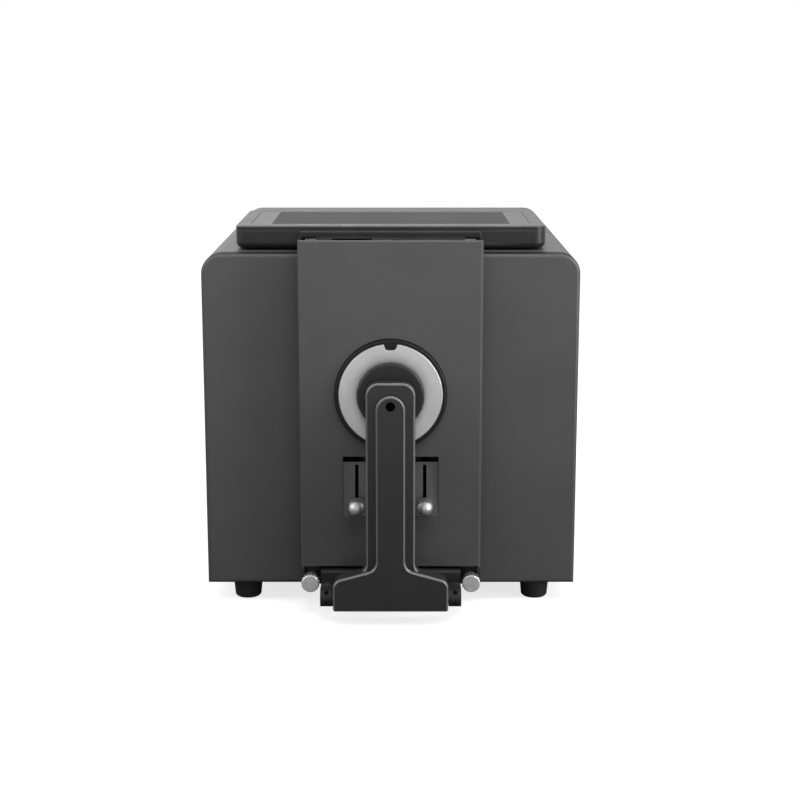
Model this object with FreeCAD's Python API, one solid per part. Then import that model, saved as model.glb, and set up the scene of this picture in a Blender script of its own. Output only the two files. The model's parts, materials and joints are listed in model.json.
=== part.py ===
import FreeCAD, Part
import math
import os

from FreeCAD import Vector

# Benchtop spectrophotometer, in millimetres. +Z is up and the measuring port faces -Y.
# The origin is on the table, under the middle of the whole instrument.

# Casing
CASE_WIDTH = 240.0
CASE_DEPTH = 322.0
CASE_HEIGHT = 217.0
CASE_CORNER_R = 13.0
FOOT_HEIGHT = 14.0
SHEET = 2.0
SEAM = 1.2
SLIP_GAP = 0.2
FRONT_PLATE = 10.0
FRONT_EDGE_R = 2.6
SPIGOT = 6.0
TRAY_FLANGE = 26.0
REAR_RECESS = 5.0
REAR_SHEET = 2.0
ARM_REACH = 48.0

CASE_BOTTOM = FOOT_HEIGHT
CASE_TOP = CASE_BOTTOM + CASE_HEIGHT
FRONT_Y = (ARM_REACH - CASE_DEPTH) / 2
REAR_Y = FRONT_Y + CASE_DEPTH
TRAY_FRONT_Y = FRONT_Y + FRONT_PLATE + SPIGOT
REAR_PANEL_Y = REAR_Y - REAR_RECESS
INSIDE_X = CASE_WIDTH / 2 - SHEET - SLIP_GAP
FLOOR_Z = CASE_BOTTOM + SHEET

# Feet
FOOT_R = 9.9
FOOT_BOTTOM_R = 8.6
FOOT_EDGE = 1.2
FOOT_X = 95.4
FOOT_INSET = 18.6
FOOT_BORE_R = 4.5
FOOT_BORE_DEPTH = 9.0
FOOT_SCREW_R = 2.0
FOOT_HEAD_R = 3.8
FOOT_HEAD = 2.6
FOOT_SCREW_REACH = 3.0

# Central nose on the front of the casing
NOSE_WIDTH = 115.0
NOSE_DEPTH = 20.0
NOSE_WALL = 2.0
NOSE_FACE = 3.2
NOSE_RISE = 10.4
NOSE_BOTTOM = 22.0
NOSE_FACE_BOTTOM = 32.0
NOSE_SIDE_SLANT = 6.0
NOSE_CHAMFER = 1.3
NOSE_TOP_R = 1.2
NOSE_TOP = CASE_TOP + NOSE_RISE
NOSE_Y = FRONT_Y - NOSE_DEPTH
NOSE_BACK_OF_FACE = NOSE_Y + NOSE_FACE
WINDOW_CLEAR = 2.1
WINDOW_BOTTOM = 62.0
WINDOW_TOP = 222.0
WINDOW_R = 8.0

# Display hinge along the rear edge of the nose top
HINGE_R = 4.5
HINGE_SETBACK = 8.0
HINGE_Y = FRONT_Y + HINGE_SETBACK
HINGE_Z = NOSE_TOP - HINGE_R
HINGE_PIN_R = 2.0
HINGE_PIN_HOLD = 8.0
RUN_GAP = 0.05
POCKET_OUTER_X = 56.0
POCKET_WIDTH = 9.6
POCKET_LENGTH = 29.0
KNUCKLE_WALL = 1.2
LEDGE_WIDTH = 7.2
LEDGE_LENGTH = 9.0
LEDGE_DROP = 1.4
LEDGE_THICK = 2.0
SIDE_GAP = 0.4
RAIL_GAP = 0.8
RAIL_TOP_DROP = 3.3
RAIL_BOTTOM_RISE = 2.2
SLOT_WIDTH = 25.0
SLOT_LENGTH = 11.0
SLOT_X = -24.0
SLOT_SETBACK = 3.0

# Display unit
DISPLAY_WIDTH = 199.0
DISPLAY_DEPTH = 110.0
DISPLAY_THICK = 15.0
DISPLAY_GAP = 0.7
DISPLAY_SETBACK = 18.0
DISPLAY_CORNER_R = 8.0
DISPLAY_UNDER_R = 4.5
DISPLAY_WALL = 2.0
BEZEL_THICK = 3.0
BEZEL_EDGE = 0.6
GLASS_MARGIN = 9.0
GLASS_THICK = 1.1
GLASS_SINK = 0.15
GLASS_R = 3.0
SCREEN_WIDTH = 154.2
SCREEN_DEPTH = 86.6
SCREEN_FRONT_MARGIN = 12.0
PANEL_THICK = 4.0
PANEL_EDGE = 4.0
REST_HALF = 8.0
REST_DEPTH = 6.0
REST_CLEAR = 0.3
REST_INSET = 16.0

# Measuring port
PORT_Z = 144.6
PORT_HOLE_R = 35.6
BEZEL_R = 35.25
RING_R = 32.9
RING_GAP = 0.2
RING_PROUD = 3.6
RING_THICK = 9.6
RING_BORE_R = 18.0
RING_CONE_R = 28.0
RING_CONE_DEPTH = 2.4
RING_EDGE = 0.6
BEZEL_FLANGE_R = 37.4
BEZEL_BACK = 1.6
BEZEL_INNER_R = 28.0
TAB_WIDTH = 9.4
TAB_NECK = 6.0
TAB_DEPTH = 3.9
TAB_RISE = 1.2
TAB_R = 2.3

# Integrating sphere
SPHERE_R = 79.0
SPHERE_WALL = 3.0
SPHERE_BANDS = 6
SPHERE_SIDES = 32
SPHERE_ENTRY = 9.0
SPHERE_FLANGE = 4.0
SPHERE_FLANGE_THICK = 3.0
NECK_R = 26.0
VIEW_ANGLE = 8.0
VIEW_PORT_R = 9.0
LAMP_PORT_R = 10.0
LAMP_OFFSET = 15.0
LAMP_WIDTH = 64.0
LAMP_DEPTH = 30.0
LAMP_TOP = 54.0
TUBE_ENTRY = 1.5
TUBE_WALL = 3.0
BARREL_START = 6.0
LENS_LENGTH = 28.0
TRAP_LENGTH = 24.0
CRADLE_INSET = 13.0
CRADLE_THICK = 4.0
CRADLE_CLEAR = 1.0
CRADLE_FOOT = 22.0
CRADLE_RIB = 30.0

# Lever recess and its two ball levers
RAMP_WIDTH = 60.8
RAMP_BOTTOM = 64.8
RAMP_HEIGHT = 39.6
RAMP_DEPTH = 3.0
RAMP_TOP_GAP = 4.2
LEVER_X = 21.6
LEVER_Z = 73.5
LEVER_TRAVEL = 24.0
LEVER_STEM_R = 0.8
SLOT_GAP = 0.3
LEVER_KNOB_R = 5.1
LEVER_KNOB_LENGTH = 13.0
LEVER_KNOB_TAPER = 1.8
LEVER_KNOB_BANDS = 4
LEVER_STAND_OFF = 2.0
RAMP_FLANGE = 2.4
RAMP_BACK = 2.3
LEVER_ROD_R = 2.0
LEVER_ROD_BEHIND = 6.5
CARRIAGE_WIDTH = 9.0
CARRIAGE_HEIGHT = 10.0
CARRIAGE_DEPTH = 8.0
LUG_THICK = 4.0
STRIP_WIDTH = 5.0
STRIP_THICK = 1.2
STRIP_LAP = 1.6

# Clamp arm, its hinge and the carrier behind it
ARM_HINGE_REACH = 36.0
ARM_HINGE_Z = 16.5
KNUCKLE_R = 5.8
ARM_PIN_R = 2.5
ARM_WIDTH = 30.6
ARM_TOP = 156.4
ARM_TOP_R = 8.0
ARM_RIB_WIDTH = 18.2
ARM_RIB_RISE = 4.0
ARM_RIB_TOP = 149.1
ARM_RIB_RAISE = 2.0
ARM_BASE_INSET = 21.25
ARM_BASE_WIDTH = NOSE_WIDTH - 2 * ARM_BASE_INSET
ARM_BASE_R = 1.5
ARM_SHOULDER_Z = 30.5
ARM_NECK_Z = 36.0
ARM_SHOULDER_R = 6.0
ARM_NECK_R = 7.0
ARM_FLARE = 6.0
ARM_FLARE_DROP = 3.5
ARM_EDGE = 1.1
ARM_HOLE_R = 3.0
ARM_HOLE_Z = 142.6
ARM_HOLE_DEPTH = 3.0
EAR_GAP = 0.5
EAR_WIDTH = 7.9
CARRIER_TOP = 31.0
CARRIER_BOTTOM = 17.5
CARRIER_PLATE = 12.0
CARRIER_BLOCK = 12.0
CARRIER_SIDE_GAP = 0.5
EAR_SCREW_R = 1.5
EAR_SCREW_DEPTH = 1.6
EAR_SCREW_UP = 4.3
EAR_SCREW_DOWN = 2.6
EAR_HEEL_R = 2.0
CARRIER_STEP = 1.0
CARRIER_EDGE = 1.2
SPRING_POCKET = 26.0
SPRING_R = 4.6
SPRING_WIRE = 1.2

# Clamp pad on its sliding stem
PAD_R = 21.1
PAD_THICK = 2.4
PAD_PLATE = 3.0
PAD_BOSS = 2.6
PAD_EDGE = 0.9
PAD_GAP = 0.3
STEM_R = 4.0
STEM_TRAVEL = 4.0
STEM_ENTRY = 4.2

# Thumb screws
THUMB_INSET = 6.2
THUMB_X = NOSE_WIDTH / 2 - THUMB_INSET
THUMB_Z = 23.5
THUMB_R = 5.9
THUMB_HEAD = 6.5
THUMB_STAND = 30.5
THUMB_COLLAR_R = 3.8
THUMB_SHANK_R = 2.5
THUMB_SHORT = 2.0
THUMB_EDGE = 0.7
THUMB_GRIP = 0.45
THUMB_GRIPS = 18

# Rear panel
VENT_COUNT = 9
VENT_X = 36.0
VENT_WIDTH = 3.0
VENT_HEIGHT = 46.0
VENT_PITCH = 8.0
VENT_Z = 150.0
SOCKET_Z = 45.0
SWITCH_INSET = 30.0
SWITCH_X = CASE_WIDTH / 2 - SWITCH_INSET
DC_X = SWITCH_X - 28.0
USB_X = 58.0 - CASE_WIDTH / 2
SERIAL_X = USB_X + 42.0
DC_R = 6.0
DC_BORE_R = 3.6
DC_DEPTH = 9.0
DC_PIN_R = 1.0
DC_RIM = 1.6
DC_PROUD = 1.2
DC_BODY = 14.0
SOCKET_SET_BACK = 1.5
SWITCH_WIDTH = 15.0
SWITCH_HEIGHT = 21.0
SWITCH_FRAME = 2.2
SWITCH_BODY = 12.0
SWITCH_PROUD = 1.5
SWITCH_WELL = 8.0
SWITCH_RIM = 1.5
ROCKER_SWING = 10.0
ROCKER_PIVOT = 1.0
ROCKER_PIN_R = 0.8
ROCKER_PIN = 1.5
ROCKER_BACK = 5.0
ROCKER_FRONT = 3.2
ROCKER_SLOPE = 1.6
ROCKER_DISH = 1.1
ROCKER_TIP = 1.2
ROCKER_HEEL = 3.0
USB_WIDTH = 12.0
USB_HEIGHT = 11.0
USB_WALL = 1.2
USB_DEPTH = 9.0
USB_PROUD = 0.6
USB_BODY = 16.0
USB_TONGUE_WIDTH = 5.0
USB_TONGUE = 2.4
SERIAL_WIDTH = 31.0
SERIAL_HEIGHT = 12.5
SERIAL_BODY = 10.0
SERIAL_PLATE = 0.8
SERIAL_PROUD = 4.6
SERIAL_SHELL_TOP = 8.4
SERIAL_SHELL_LOW = 7.0
SERIAL_SHELL_HALF = 4.2
SERIAL_POST_X = 12.5
SERIAL_POST_R = 2.4
PANEL_SCREW_R = 2.8
PANEL_SCREW_INSET = 12.0
PANEL_SCREW_HEAD = 1.8
PANEL_SCREW_LENGTH = 6.0

# Boards and modules inside
BOARD_THICK = 1.6
STAND_HEIGHT = 8.0
STAND_R = 3.0
SPEC_WIDTH = 104.0
SPEC_DEPTH = 96.0
SPEC_HEIGHT = 62.0
SPEC_LEG = 8.0
SPEC_X = -24.0
SPEC_CORNER = 30.0
SPEC_LID = 3.0
SPEC_LID_LAP = 2.0
BOARD_INSET = 6.0
MAIN_BOARD_SIDE = 9.8
MAIN_BOARD_ENTRY = 40.0
MAIN_BOARD_BACK = 22.0
MAIN_CHIPS = [(0.26, 0.56, 0.32, 0.45, 3.0), (0.67, 0.92, 0.16, 0.24, 2.5), (0.18, 0.38, 0.6, 0.8, 6.0)]
POWER_BOARD_ENTRY = 20.0
POWER_BOARD_DEPTH = 62.0
POWER_CHIPS = [(0.13, 0.45, 0.23, 0.65, 14.0), (0.53, 0.68, 0.32, 0.8, 9.0)]
DISPLAY_BOARD_WIDTH = 120.0
DISPLAY_BOARD_DEPTH = 60.0
DISPLAY_BOARD_ENTRY = 24.0
DISPLAY_BOARD_RAISE = 2.5


def box(x0, x1, y0, y1, z0, z1):
    return Part.makeBox(x1 - x0, y1 - y0, z1 - z0, Vector(x0, y0, z0))


def rod_x(radius, x0, x1, y, z):
    return Part.makeCylinder(radius, x1 - x0, Vector(x0, y, z), Vector(1, 0, 0))


def rod_y(radius, y0, y1, x, z):
    return Part.makeCylinder(radius, y1 - y0, Vector(x, y0, z), Vector(0, 1, 0))


def rod_z(radius, z0, z1, x, y):
    return Part.makeCylinder(radius, z1 - z0, Vector(x, y, z0), Vector(0, 0, 1))


def cone_y(radius0, radius1, y0, y1, x, z):
    return Part.makeCone(radius0, radius1, y1 - y0, Vector(x, y0, z), Vector(0, 1, 0))


def rounded_wire(corners, place):
    """A closed outline through corners (a, b, radius), each rounded to its radius."""
    count = len(corners)
    arcs = []
    for i in range(count):
        a, b, radius = corners[i]
        here = Vector(a, b, 0)
        back = Vector(corners[i - 1][0], corners[i - 1][1], 0) - here
        ahead = Vector(corners[(i + 1) % count][0], corners[(i + 1) % count][1], 0) - here
        if radius <= 0:
            arcs.append((here, None, here))
            continue
        half = back.getAngle(ahead) / 2
        back.normalize()
        ahead.normalize()
        reach = radius / math.tan(half)
        inward = (back + ahead).normalize()
        middle = here + inward * (radius / math.sin(half) - radius)
        arcs.append((here + back * reach, middle, here + ahead * reach))
    edges = []
    for i in range(count):
        start, middle, end = arcs[i]
        if middle is not None:
            edges.append(Part.Arc(place(start), place(middle), place(end)).toShape())
        following = arcs[(i + 1) % count][0]
        if end.distanceToPoint(following) > 1e-6:
            edges.append(Part.LineSegment(place(end), place(following)).toShape())
    return Part.Wire(edges)


def prism_x(corners, x0, x1):
    wire = rounded_wire(corners, lambda p: Vector(x0, p.x, p.y))
    return Part.Face(wire).extrude(Vector(x1 - x0, 0, 0))


def prism_y(corners, y0, y1):
    wire = rounded_wire(corners, lambda p: Vector(p.x, y0, p.y))
    return Part.Face(wire).extrude(Vector(0, y1 - y0, 0))


def prism_z(corners, z0, z1):
    wire = rounded_wire(corners, lambda p: Vector(p.x, p.y, z0))
    return Part.Face(wire).extrude(Vector(0, 0, z1 - z0))


def rectangle(a0, a1, b0, b1, radius=0.0):
    return [(a0, b0, radius), (a0, b1, radius), (a1, b1, radius), (a1, b0, radius)]


def turned_z(profile, x, y):
    """A solid turned about the upright line at x, y from a half profile (radius, z)."""
    points = [Vector(r, 0, z) for r, z in profile]
    face = Part.Face(Part.makePolygon(points + points[:1]))
    solid = face.revolve(Vector(0, 0, 0), Vector(0, 0, 1), 360)
    solid.translate(Vector(x, y, 0))
    return solid


def turned_y(corners, x, z):
    """A solid turned about the level line at x, z from a half profile (radius, y, rounding)."""
    wire = rounded_wire(corners, lambda p: Vector(p.x, p.y, 0))
    solid = Part.Face(wire).revolve(Vector(0, 0, 0), Vector(0, 1, 0), 360)
    solid.translate(Vector(x, 0, z))
    return solid


def hexagon(radius, a, b):
    turns = [math.pi * i / 3 for i in range(6)]
    return [(a + radius * math.cos(t), b + radius * math.sin(t), 0) for t in turns]


def edges_on(shape, test):
    """The edges whose both ends and middle pass the test."""
    chosen = []
    for edge in shape.Edges:
        ends = [v.Point for v in edge.Vertexes]
        middle = edge.valueAt((edge.FirstParameter + edge.LastParameter) / 2)
        if all(test(p) for p in ends + [middle]):
            chosen.append(edge)
    return chosen


def near(a, b):
    return abs(a - b) < 0.01


def mirrored(shape):
    return shape.mirror(Vector(0, 0, 0), Vector(1, 0, 0))


def both_sides(shape):
    return [shape, mirrored(shape)]


def joined(shape, *others):
    return shape.fuse(list(others)).removeSplitter()


def export(name, *shapes):
    shape = shapes[0] if len(shapes) == 1 else Part.makeCompound(list(shapes))
    shape.exportStep(os.path.join("parts", name + ".step"))


def casing_outline(inset, bottom):
    """The casing seen from the front: square at the foot, rounded at the top."""
    half = CASE_WIDTH / 2 - inset
    radius = CASE_CORNER_R - inset
    top = CASE_TOP - inset
    return [(-half, bottom, 0), (-half, top, radius), (half, top, radius), (half, bottom, 0)]


def make_front_plate():
    """The thick front plate, with a step behind it that carries the cover."""
    plate = prism_y(casing_outline(0, CASE_BOTTOM), FRONT_Y, FRONT_Y + FRONT_PLATE)
    plate = plate.makeFillet(FRONT_EDGE_R, edges_on(plate, lambda p: near(p.y, FRONT_Y)))
    inset = SHEET + SLIP_GAP
    step = prism_y(casing_outline(inset, CASE_BOTTOM), FRONT_Y + FRONT_PLATE, TRAY_FRONT_Y)
    plate = joined(plate, step)
    for back in (FRONT_Y + FRONT_PLATE, TRAY_FRONT_Y):
        half = sphere_reach(back) + WINDOW_CLEAR
        corners = rectangle(-half, half, WINDOW_BOTTOM, WINDOW_TOP, WINDOW_R)
        plate = plate.cut(prism_y(corners, back - FRONT_PLATE - 1, back + 1))
    for x in (-THUMB_X, THUMB_X):
        hole = rod_y(THUMB_SHANK_R + RUN_GAP, FRONT_Y - 1, FRONT_Y + FRONT_PLATE, x, THUMB_Z)
        plate = plate.cut(hole)
    return plate


def make_wrap_cover():
    """One bent sheet over both sides and the top."""
    start = FRONT_Y + FRONT_PLATE + SEAM
    outer = prism_y(casing_outline(0, CASE_BOTTOM), start, REAR_Y)
    inner = prism_y(casing_outline(SHEET, CASE_BOTTOM - 1), start - 1, REAR_Y + 1)
    return outer.cut(inner)


def foot_places():
    rows = (FRONT_Y + FOOT_INSET, REAR_Y - FOOT_INSET - REAR_RECESS)
    return [(side * FOOT_X, y) for side in (-1, 1) for y in rows]


def make_base_tray():
    """The floor sheet, folded up at both sides inside the cover."""
    end = REAR_PANEL_Y - REAR_SHEET
    low = CASE_BOTTOM
    high = CASE_BOTTOM + TRAY_FLANGE
    inner = INSIDE_X - SHEET
    fold = SHEET + 1.0
    corners = [
        (-INSIDE_X, low, fold),
        (-INSIDE_X, high, 0),
        (-inner, high, 0),
        (-inner, FLOOR_Z, fold - SHEET),
        (inner, FLOOR_Z, fold - SHEET),
        (inner, high, 0),
        (INSIDE_X, high, 0),
        (INSIDE_X, low, fold),
    ]
    tray = prism_y(corners, TRAY_FRONT_Y, end)
    for x, y in foot_places():
        tray = tray.cut(rod_z(FOOT_SCREW_R, low - 1, FLOOR_Z + 1, x, y))
    return tray


def make_rear_panel():
    """The rear sheet with its vent slots and the cut-outs for the sockets."""
    inset = SHEET + SLIP_GAP
    panel = prism_y(casing_outline(inset, CASE_BOTTOM), REAR_PANEL_Y - REAR_SHEET, REAR_PANEL_Y)
    y0, y1 = REAR_PANEL_Y - REAR_SHEET - 1, REAR_PANEL_Y + 1
    for side in (-1, 1):
        for i in range(VENT_COUNT):
            x = side * (VENT_X + i * VENT_PITCH)
            half = VENT_WIDTH / 2
            panel = panel.cut(box(x - half, x + half, y0, y1, VENT_Z, VENT_Z + VENT_HEIGHT))
    panel = panel.cut(rod_y(DC_R, y0, y1, DC_X, SOCKET_Z))
    panel = panel.cut(centred_box(SWITCH_X, SWITCH_WIDTH, SWITCH_HEIGHT, y0, y1))
    panel = panel.cut(centred_box(USB_X, USB_WIDTH, USB_HEIGHT, y0, y1))
    panel = panel.cut(centred_box(SERIAL_X, SERIAL_WIDTH, SERIAL_HEIGHT, y0, y1))
    for x, z in panel_screw_places():
        panel = panel.cut(rod_y(FOOT_SCREW_R, y0, y1, x, z))
    return panel


def centred_box(x, width, height, y0, y1):
    return box(x - width / 2, x + width / 2, y0, y1, SOCKET_Z - height / 2, SOCKET_Z + height / 2)


def panel_screw_places():
    high = CASE_TOP - PANEL_SCREW_INSET
    low = CASE_BOTTOM + PANEL_SCREW_INSET
    side = CASE_WIDTH / 2 - PANEL_SCREW_INSET
    return [(-side, low), (side, low), (-side, high), (side, high), (0.0, high)]


def make_panel_screws():
    screws = []
    for x, z in panel_screw_places():
        head = rod_y(PANEL_SCREW_R, REAR_PANEL_Y, REAR_PANEL_Y + PANEL_SCREW_HEAD, x, z)
        shank = prism_y(hexagon(FOOT_SCREW_R, x, z), REAR_PANEL_Y - PANEL_SCREW_LENGTH, REAR_PANEL_Y)
        screws.append(joined(head, shank))
    return screws


def make_foot(x, y):
    profile = [
        (0, 0),
        (FOOT_BOTTOM_R - FOOT_EDGE, 0),
        (FOOT_BOTTOM_R, FOOT_EDGE),
        (FOOT_R, FOOT_HEIGHT),
        (0, FOOT_HEIGHT),
    ]
    foot = turned_z(profile, x, y)
    foot = foot.cut(prism_z(hexagon(FOOT_BORE_R, x, y), -1, FOOT_BORE_DEPTH))
    return foot.cut(prism_z(hexagon(FOOT_SCREW_R, x, y), 0, FOOT_HEIGHT + 1))


def make_foot_screw(x, y):
    head = prism_z(hexagon(FOOT_HEAD_R, x, y), FOOT_BORE_DEPTH - FOOT_HEAD, FOOT_BORE_DEPTH)
    return joined(head, prism_z(hexagon(FOOT_SCREW_R, x, y), FOOT_BORE_DEPTH, FLOOR_Z + FOOT_SCREW_REACH))


def make_nose_shell():
    """The hollow column on the front, open behind and below, with its half-round top edge."""
    half = NOSE_WIDTH / 2
    slant_y = NOSE_Y + NOSE_SIDE_SLANT
    end = HINGE_Y + HINGE_R
    side = [
        (NOSE_Y, NOSE_FACE_BOTTOM, 0),
        (NOSE_Y, NOSE_TOP, NOSE_TOP_R),
        (end, NOSE_TOP, HINGE_R),
        (end, CASE_TOP, 0),
        (FRONT_Y, CASE_TOP, 0),
        (FRONT_Y, NOSE_BOTTOM, 0),
        (slant_y, NOSE_BOTTOM, 0),
    ]
    nose = prism_x(side, -half, half)
    corner = [
        (half - NOSE_CHAMFER - 1, NOSE_Y - 1, 0),
        (half + 1, NOSE_Y + NOSE_CHAMFER + 1, 0),
        (half + 1, NOSE_Y - 1, 0),
    ]
    for cut in both_sides(prism_z(corner, NOSE_BOTTOM - 1, NOSE_TOP + 1)):
        nose = nose.cut(cut)
    inner_x = POCKET_OUTER_X - POCKET_WIDTH
    bore = rod_x(HINGE_PIN_R, inner_x - HINGE_PIN_HOLD, half + 1, HINGE_Y, HINGE_Z)
    for cut in both_sides(bore):
        nose = nose.cut(cut)
    inner = half - NOSE_WALL
    nose = nose.cut(box(-inner, inner, NOSE_BACK_OF_FACE, FRONT_Y + 1, 0, NOSE_TOP - NOSE_WALL))
    nose = nose.cut(box(-inner, inner, NOSE_Y - 1, FRONT_Y + 1, 0, NOSE_FACE_BOTTOM))
    pocket_back = HINGE_Y - HINGE_R - SLIP_GAP
    nose = nose.cut(box(-inner, inner, FRONT_Y, pocket_back, CASE_TOP - 1, NOSE_TOP - NOSE_WALL))
    start = end - POCKET_LENGTH
    pocket = box(inner_x, POCKET_OUTER_X, start, end + 1, CASE_TOP - 1, NOSE_TOP + 1)
    for cut in both_sides(pocket):
        nose = nose.cut(cut)
    ledge_end = HINGE_Y - HINGE_PIN_R - KNUCKLE_WALL - RAIL_GAP
    ledge = box(
        inner_x - 1,
        inner_x + LEDGE_WIDTH,
        ledge_end - LEDGE_LENGTH,
        ledge_end,
        NOSE_TOP - LEDGE_DROP - LEDGE_THICK,
        NOSE_TOP - LEDGE_DROP,
    )
    nose = joined(nose, *both_sides(ledge))
    slot = rectangle(
        SLOT_X - SLOT_WIDTH / 2,
        SLOT_X + SLOT_WIDTH / 2,
        NOSE_Y + SLOT_SETBACK,
        NOSE_Y + SLOT_SETBACK + SLOT_LENGTH,
        1.0,
    )
    nose = nose.cut(prism_z(slot, NOSE_TOP - NOSE_WALL - 1, NOSE_TOP + 1))
    nose = nose.cut(rod_y(PORT_HOLE_R, NOSE_Y - 1, FRONT_Y, 0, PORT_Z))
    ramp_half = RAMP_WIDTH / 2
    opening = box(
        -ramp_half, ramp_half, NOSE_Y - 1, FRONT_Y, RAMP_BOTTOM, RAMP_BOTTOM + RAMP_HEIGHT
    )
    return nose.cut(opening)


def make_hinge_pins():
    inner = POCKET_OUTER_X - POCKET_WIDTH - HINGE_PIN_HOLD
    pin = rod_x(HINGE_PIN_R, inner, NOSE_WIDTH / 2 - SIDE_GAP, HINGE_Y, HINGE_Z)
    return both_sides(pin)


def make_lever_plate():
    """The sloped floor of the lever recess, on a flange behind the nose face."""
    inner = RAMP_WIDTH / 2 - SLIP_GAP
    low, high = RAMP_BOTTOM + SLIP_GAP, RAMP_BOTTOM + RAMP_HEIGHT - RAMP_TOP_GAP
    back = NOSE_BACK_OF_FACE + RAMP_BACK
    ramp = prism_x(
        [(NOSE_Y, low, 0), (NOSE_Y + RAMP_DEPTH, high, 0), (back, high, 0), (back, low, 0)],
        -inner,
        inner,
    )
    outer = RAMP_WIDTH / 2 + RAMP_FLANGE
    bottom = RAMP_BOTTOM - RAMP_FLANGE
    top = RAMP_BOTTOM + RAMP_HEIGHT + RAMP_FLANGE
    plate = joined(ramp, box(-outer, outer, NOSE_BACK_OF_FACE, back, bottom, top))
    gap_top = RAMP_BOTTOM + RAMP_HEIGHT
    plate = plate.cut(box(-inner, inner, NOSE_Y - 1, back + 1, high, gap_top))
    rod_y_at = back + LEVER_ROD_BEHIND
    reach = rod_y_at + LEVER_ROD_R + 1.5
    half = CARRIAGE_WIDTH / 2
    for side in (-1, 1):
        x = side * LEVER_X
        for z in (bottom, top - LUG_THICK):
            lug = box(x - half, x + half, back, reach, z, z + LUG_THICK)
            notch = STRIP_WIDTH / 2 + SLOT_GAP
            depth = back + STRIP_THICK + 2 * SLOT_GAP
            lug = lug.cut(box(x - notch, x + notch, back - 1, depth, z - 1, z + LUG_THICK + 1))
            plate = joined(plate, lug)
        plate = plate.cut(rod_z(LEVER_ROD_R, bottom - 1, top + 1, x, rod_y_at))
        slot = LEVER_STEM_R + SLOT_GAP
        corners = rectangle(
            x - slot, x + slot, LEVER_Z - slot, LEVER_Z + LEVER_TRAVEL + slot, slot
        )
        plate = plate.cut(prism_y(corners, NOSE_Y - 1, back + 1))
    return plate


def lever_rod_y():
    return NOSE_BACK_OF_FACE + RAMP_BACK + LEVER_ROD_BEHIND


def make_lever_rods():
    bottom = RAMP_BOTTOM - RAMP_FLANGE
    top = RAMP_BOTTOM + RAMP_HEIGHT + RAMP_FLANGE
    return both_sides(rod_z(LEVER_ROD_R, bottom, top, LEVER_X, lever_rod_y()))


def make_lever_carriage():
    """The slider on its rod behind the recess, with the strip that closes the slot."""
    y = lever_rod_y()
    half = CARRIAGE_WIDTH / 2
    front = NOSE_BACK_OF_FACE + RAMP_BACK + SLOT_GAP
    back = front + CARRIAGE_DEPTH + 1.0
    low, high = LEVER_Z - CARRIAGE_HEIGHT / 2, LEVER_Z + CARRIAGE_HEIGHT / 2
    block = box(LEVER_X - half, LEVER_X + half, front, back, low, high)
    inner_x = LEVER_X - STRIP_WIDTH / 2
    flange_low = PORT_Z - math.sqrt(BEZEL_FLANGE_R ** 2 - inner_x ** 2)
    strip = box(
        inner_x,
        inner_x + STRIP_WIDTH,
        front,
        front + STRIP_THICK,
        LEVER_Z - LEVER_TRAVEL - LEVER_STEM_R - STRIP_LAP,
        flange_low - LEVER_TRAVEL - 2 * SLOT_GAP,
    )
    carriage = joined(block, strip)
    return carriage.cut(rod_z(LEVER_ROD_R + RUN_GAP, low - 1, high + 1, LEVER_X, y))


def make_lever_knob():
    """A polished round-ended knob on a thin stem through the slot, at the right side."""
    back = NOSE_Y - LEVER_STAND_OFF
    ball_y = back - LEVER_KNOB_LENGTH + LEVER_KNOB_R
    end = NOSE_BACK_OF_FACE + RAMP_BACK + SLOT_GAP
    ball = dome(LEVER_KNOB_R, math.pi / 2, 0, LEVER_KNOB_BANDS)
    corners = [(r, ball_y - h, 0) for r, h in ball]
    corners[0] = (0, ball_y - LEVER_KNOB_R, 0)
    corners += [
        (LEVER_KNOB_R, back - LEVER_KNOB_TAPER, 0),
        (LEVER_KNOB_R - LEVER_KNOB_TAPER, back, 0),
        (LEVER_STEM_R, back, 0),
        (LEVER_STEM_R, end, 0),
        (0, end, 0),
    ]
    return turned_y(corners, LEVER_X, LEVER_Z)


def tab_outline(grow):
    """The locating tab at the top of the port, seen from the front."""
    top = PORT_Z + RING_R + TAB_RISE
    low = PORT_Z + RING_R - TAB_DEPTH - grow
    half = TAB_WIDTH / 2 + grow
    neck = TAB_NECK / 2 + grow
    return [(-half, top, 0), (half, top, 0), (neck, low, TAB_R), (-neck, low, TAB_R)]


def make_port_bezel():
    """The black sleeve round the port, with its tab and its flange behind the face."""
    front = NOSE_Y - RING_PROUD
    ring_back = front + RING_THICK
    back = ring_back + BEZEL_BACK
    inner = RING_R + RING_GAP
    corners = [
        (BEZEL_INNER_R, back, 0),
        (BEZEL_INNER_R, ring_back, 0),
        (inner, ring_back, 0),
        (inner, front, 0),
        (BEZEL_R - RING_EDGE, front, 0),
        (BEZEL_R, front + RING_EDGE, 0),
        (BEZEL_R, NOSE_BACK_OF_FACE, 0),
        (BEZEL_FLANGE_R, NOSE_BACK_OF_FACE, 0),
        (BEZEL_FLANGE_R, back, 0),
    ]
    bezel = turned_y(corners, 0, PORT_Z)
    return joined(bezel, prism_y(tab_outline(0), front, ring_back))


def make_aperture_ring():
    """The light ring with a dished seat for the sample round the bore."""
    front = NOSE_Y - RING_PROUD
    back = front + RING_THICK
    corners = [
        (RING_BORE_R, back, 0),
        (RING_BORE_R, front + RING_CONE_DEPTH, 0),
        (RING_CONE_R, front, 0),
        (RING_R - RING_EDGE, front, 0),
        (RING_R, front + RING_EDGE, 0),
        (RING_R, back, 0),
    ]
    ring = turned_y(corners, 0, PORT_Z)
    return ring.cut(prism_y(tab_outline(RING_GAP), front - 1, back + 1))


def view_direction(side):
    angle = math.radians(VIEW_ANGLE)
    return Vector(side * math.sin(angle), math.cos(angle), 0)


def sphere_centre():
    return Vector(0, FRONT_Y - SPHERE_ENTRY + SPHERE_R, PORT_Z)


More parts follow.
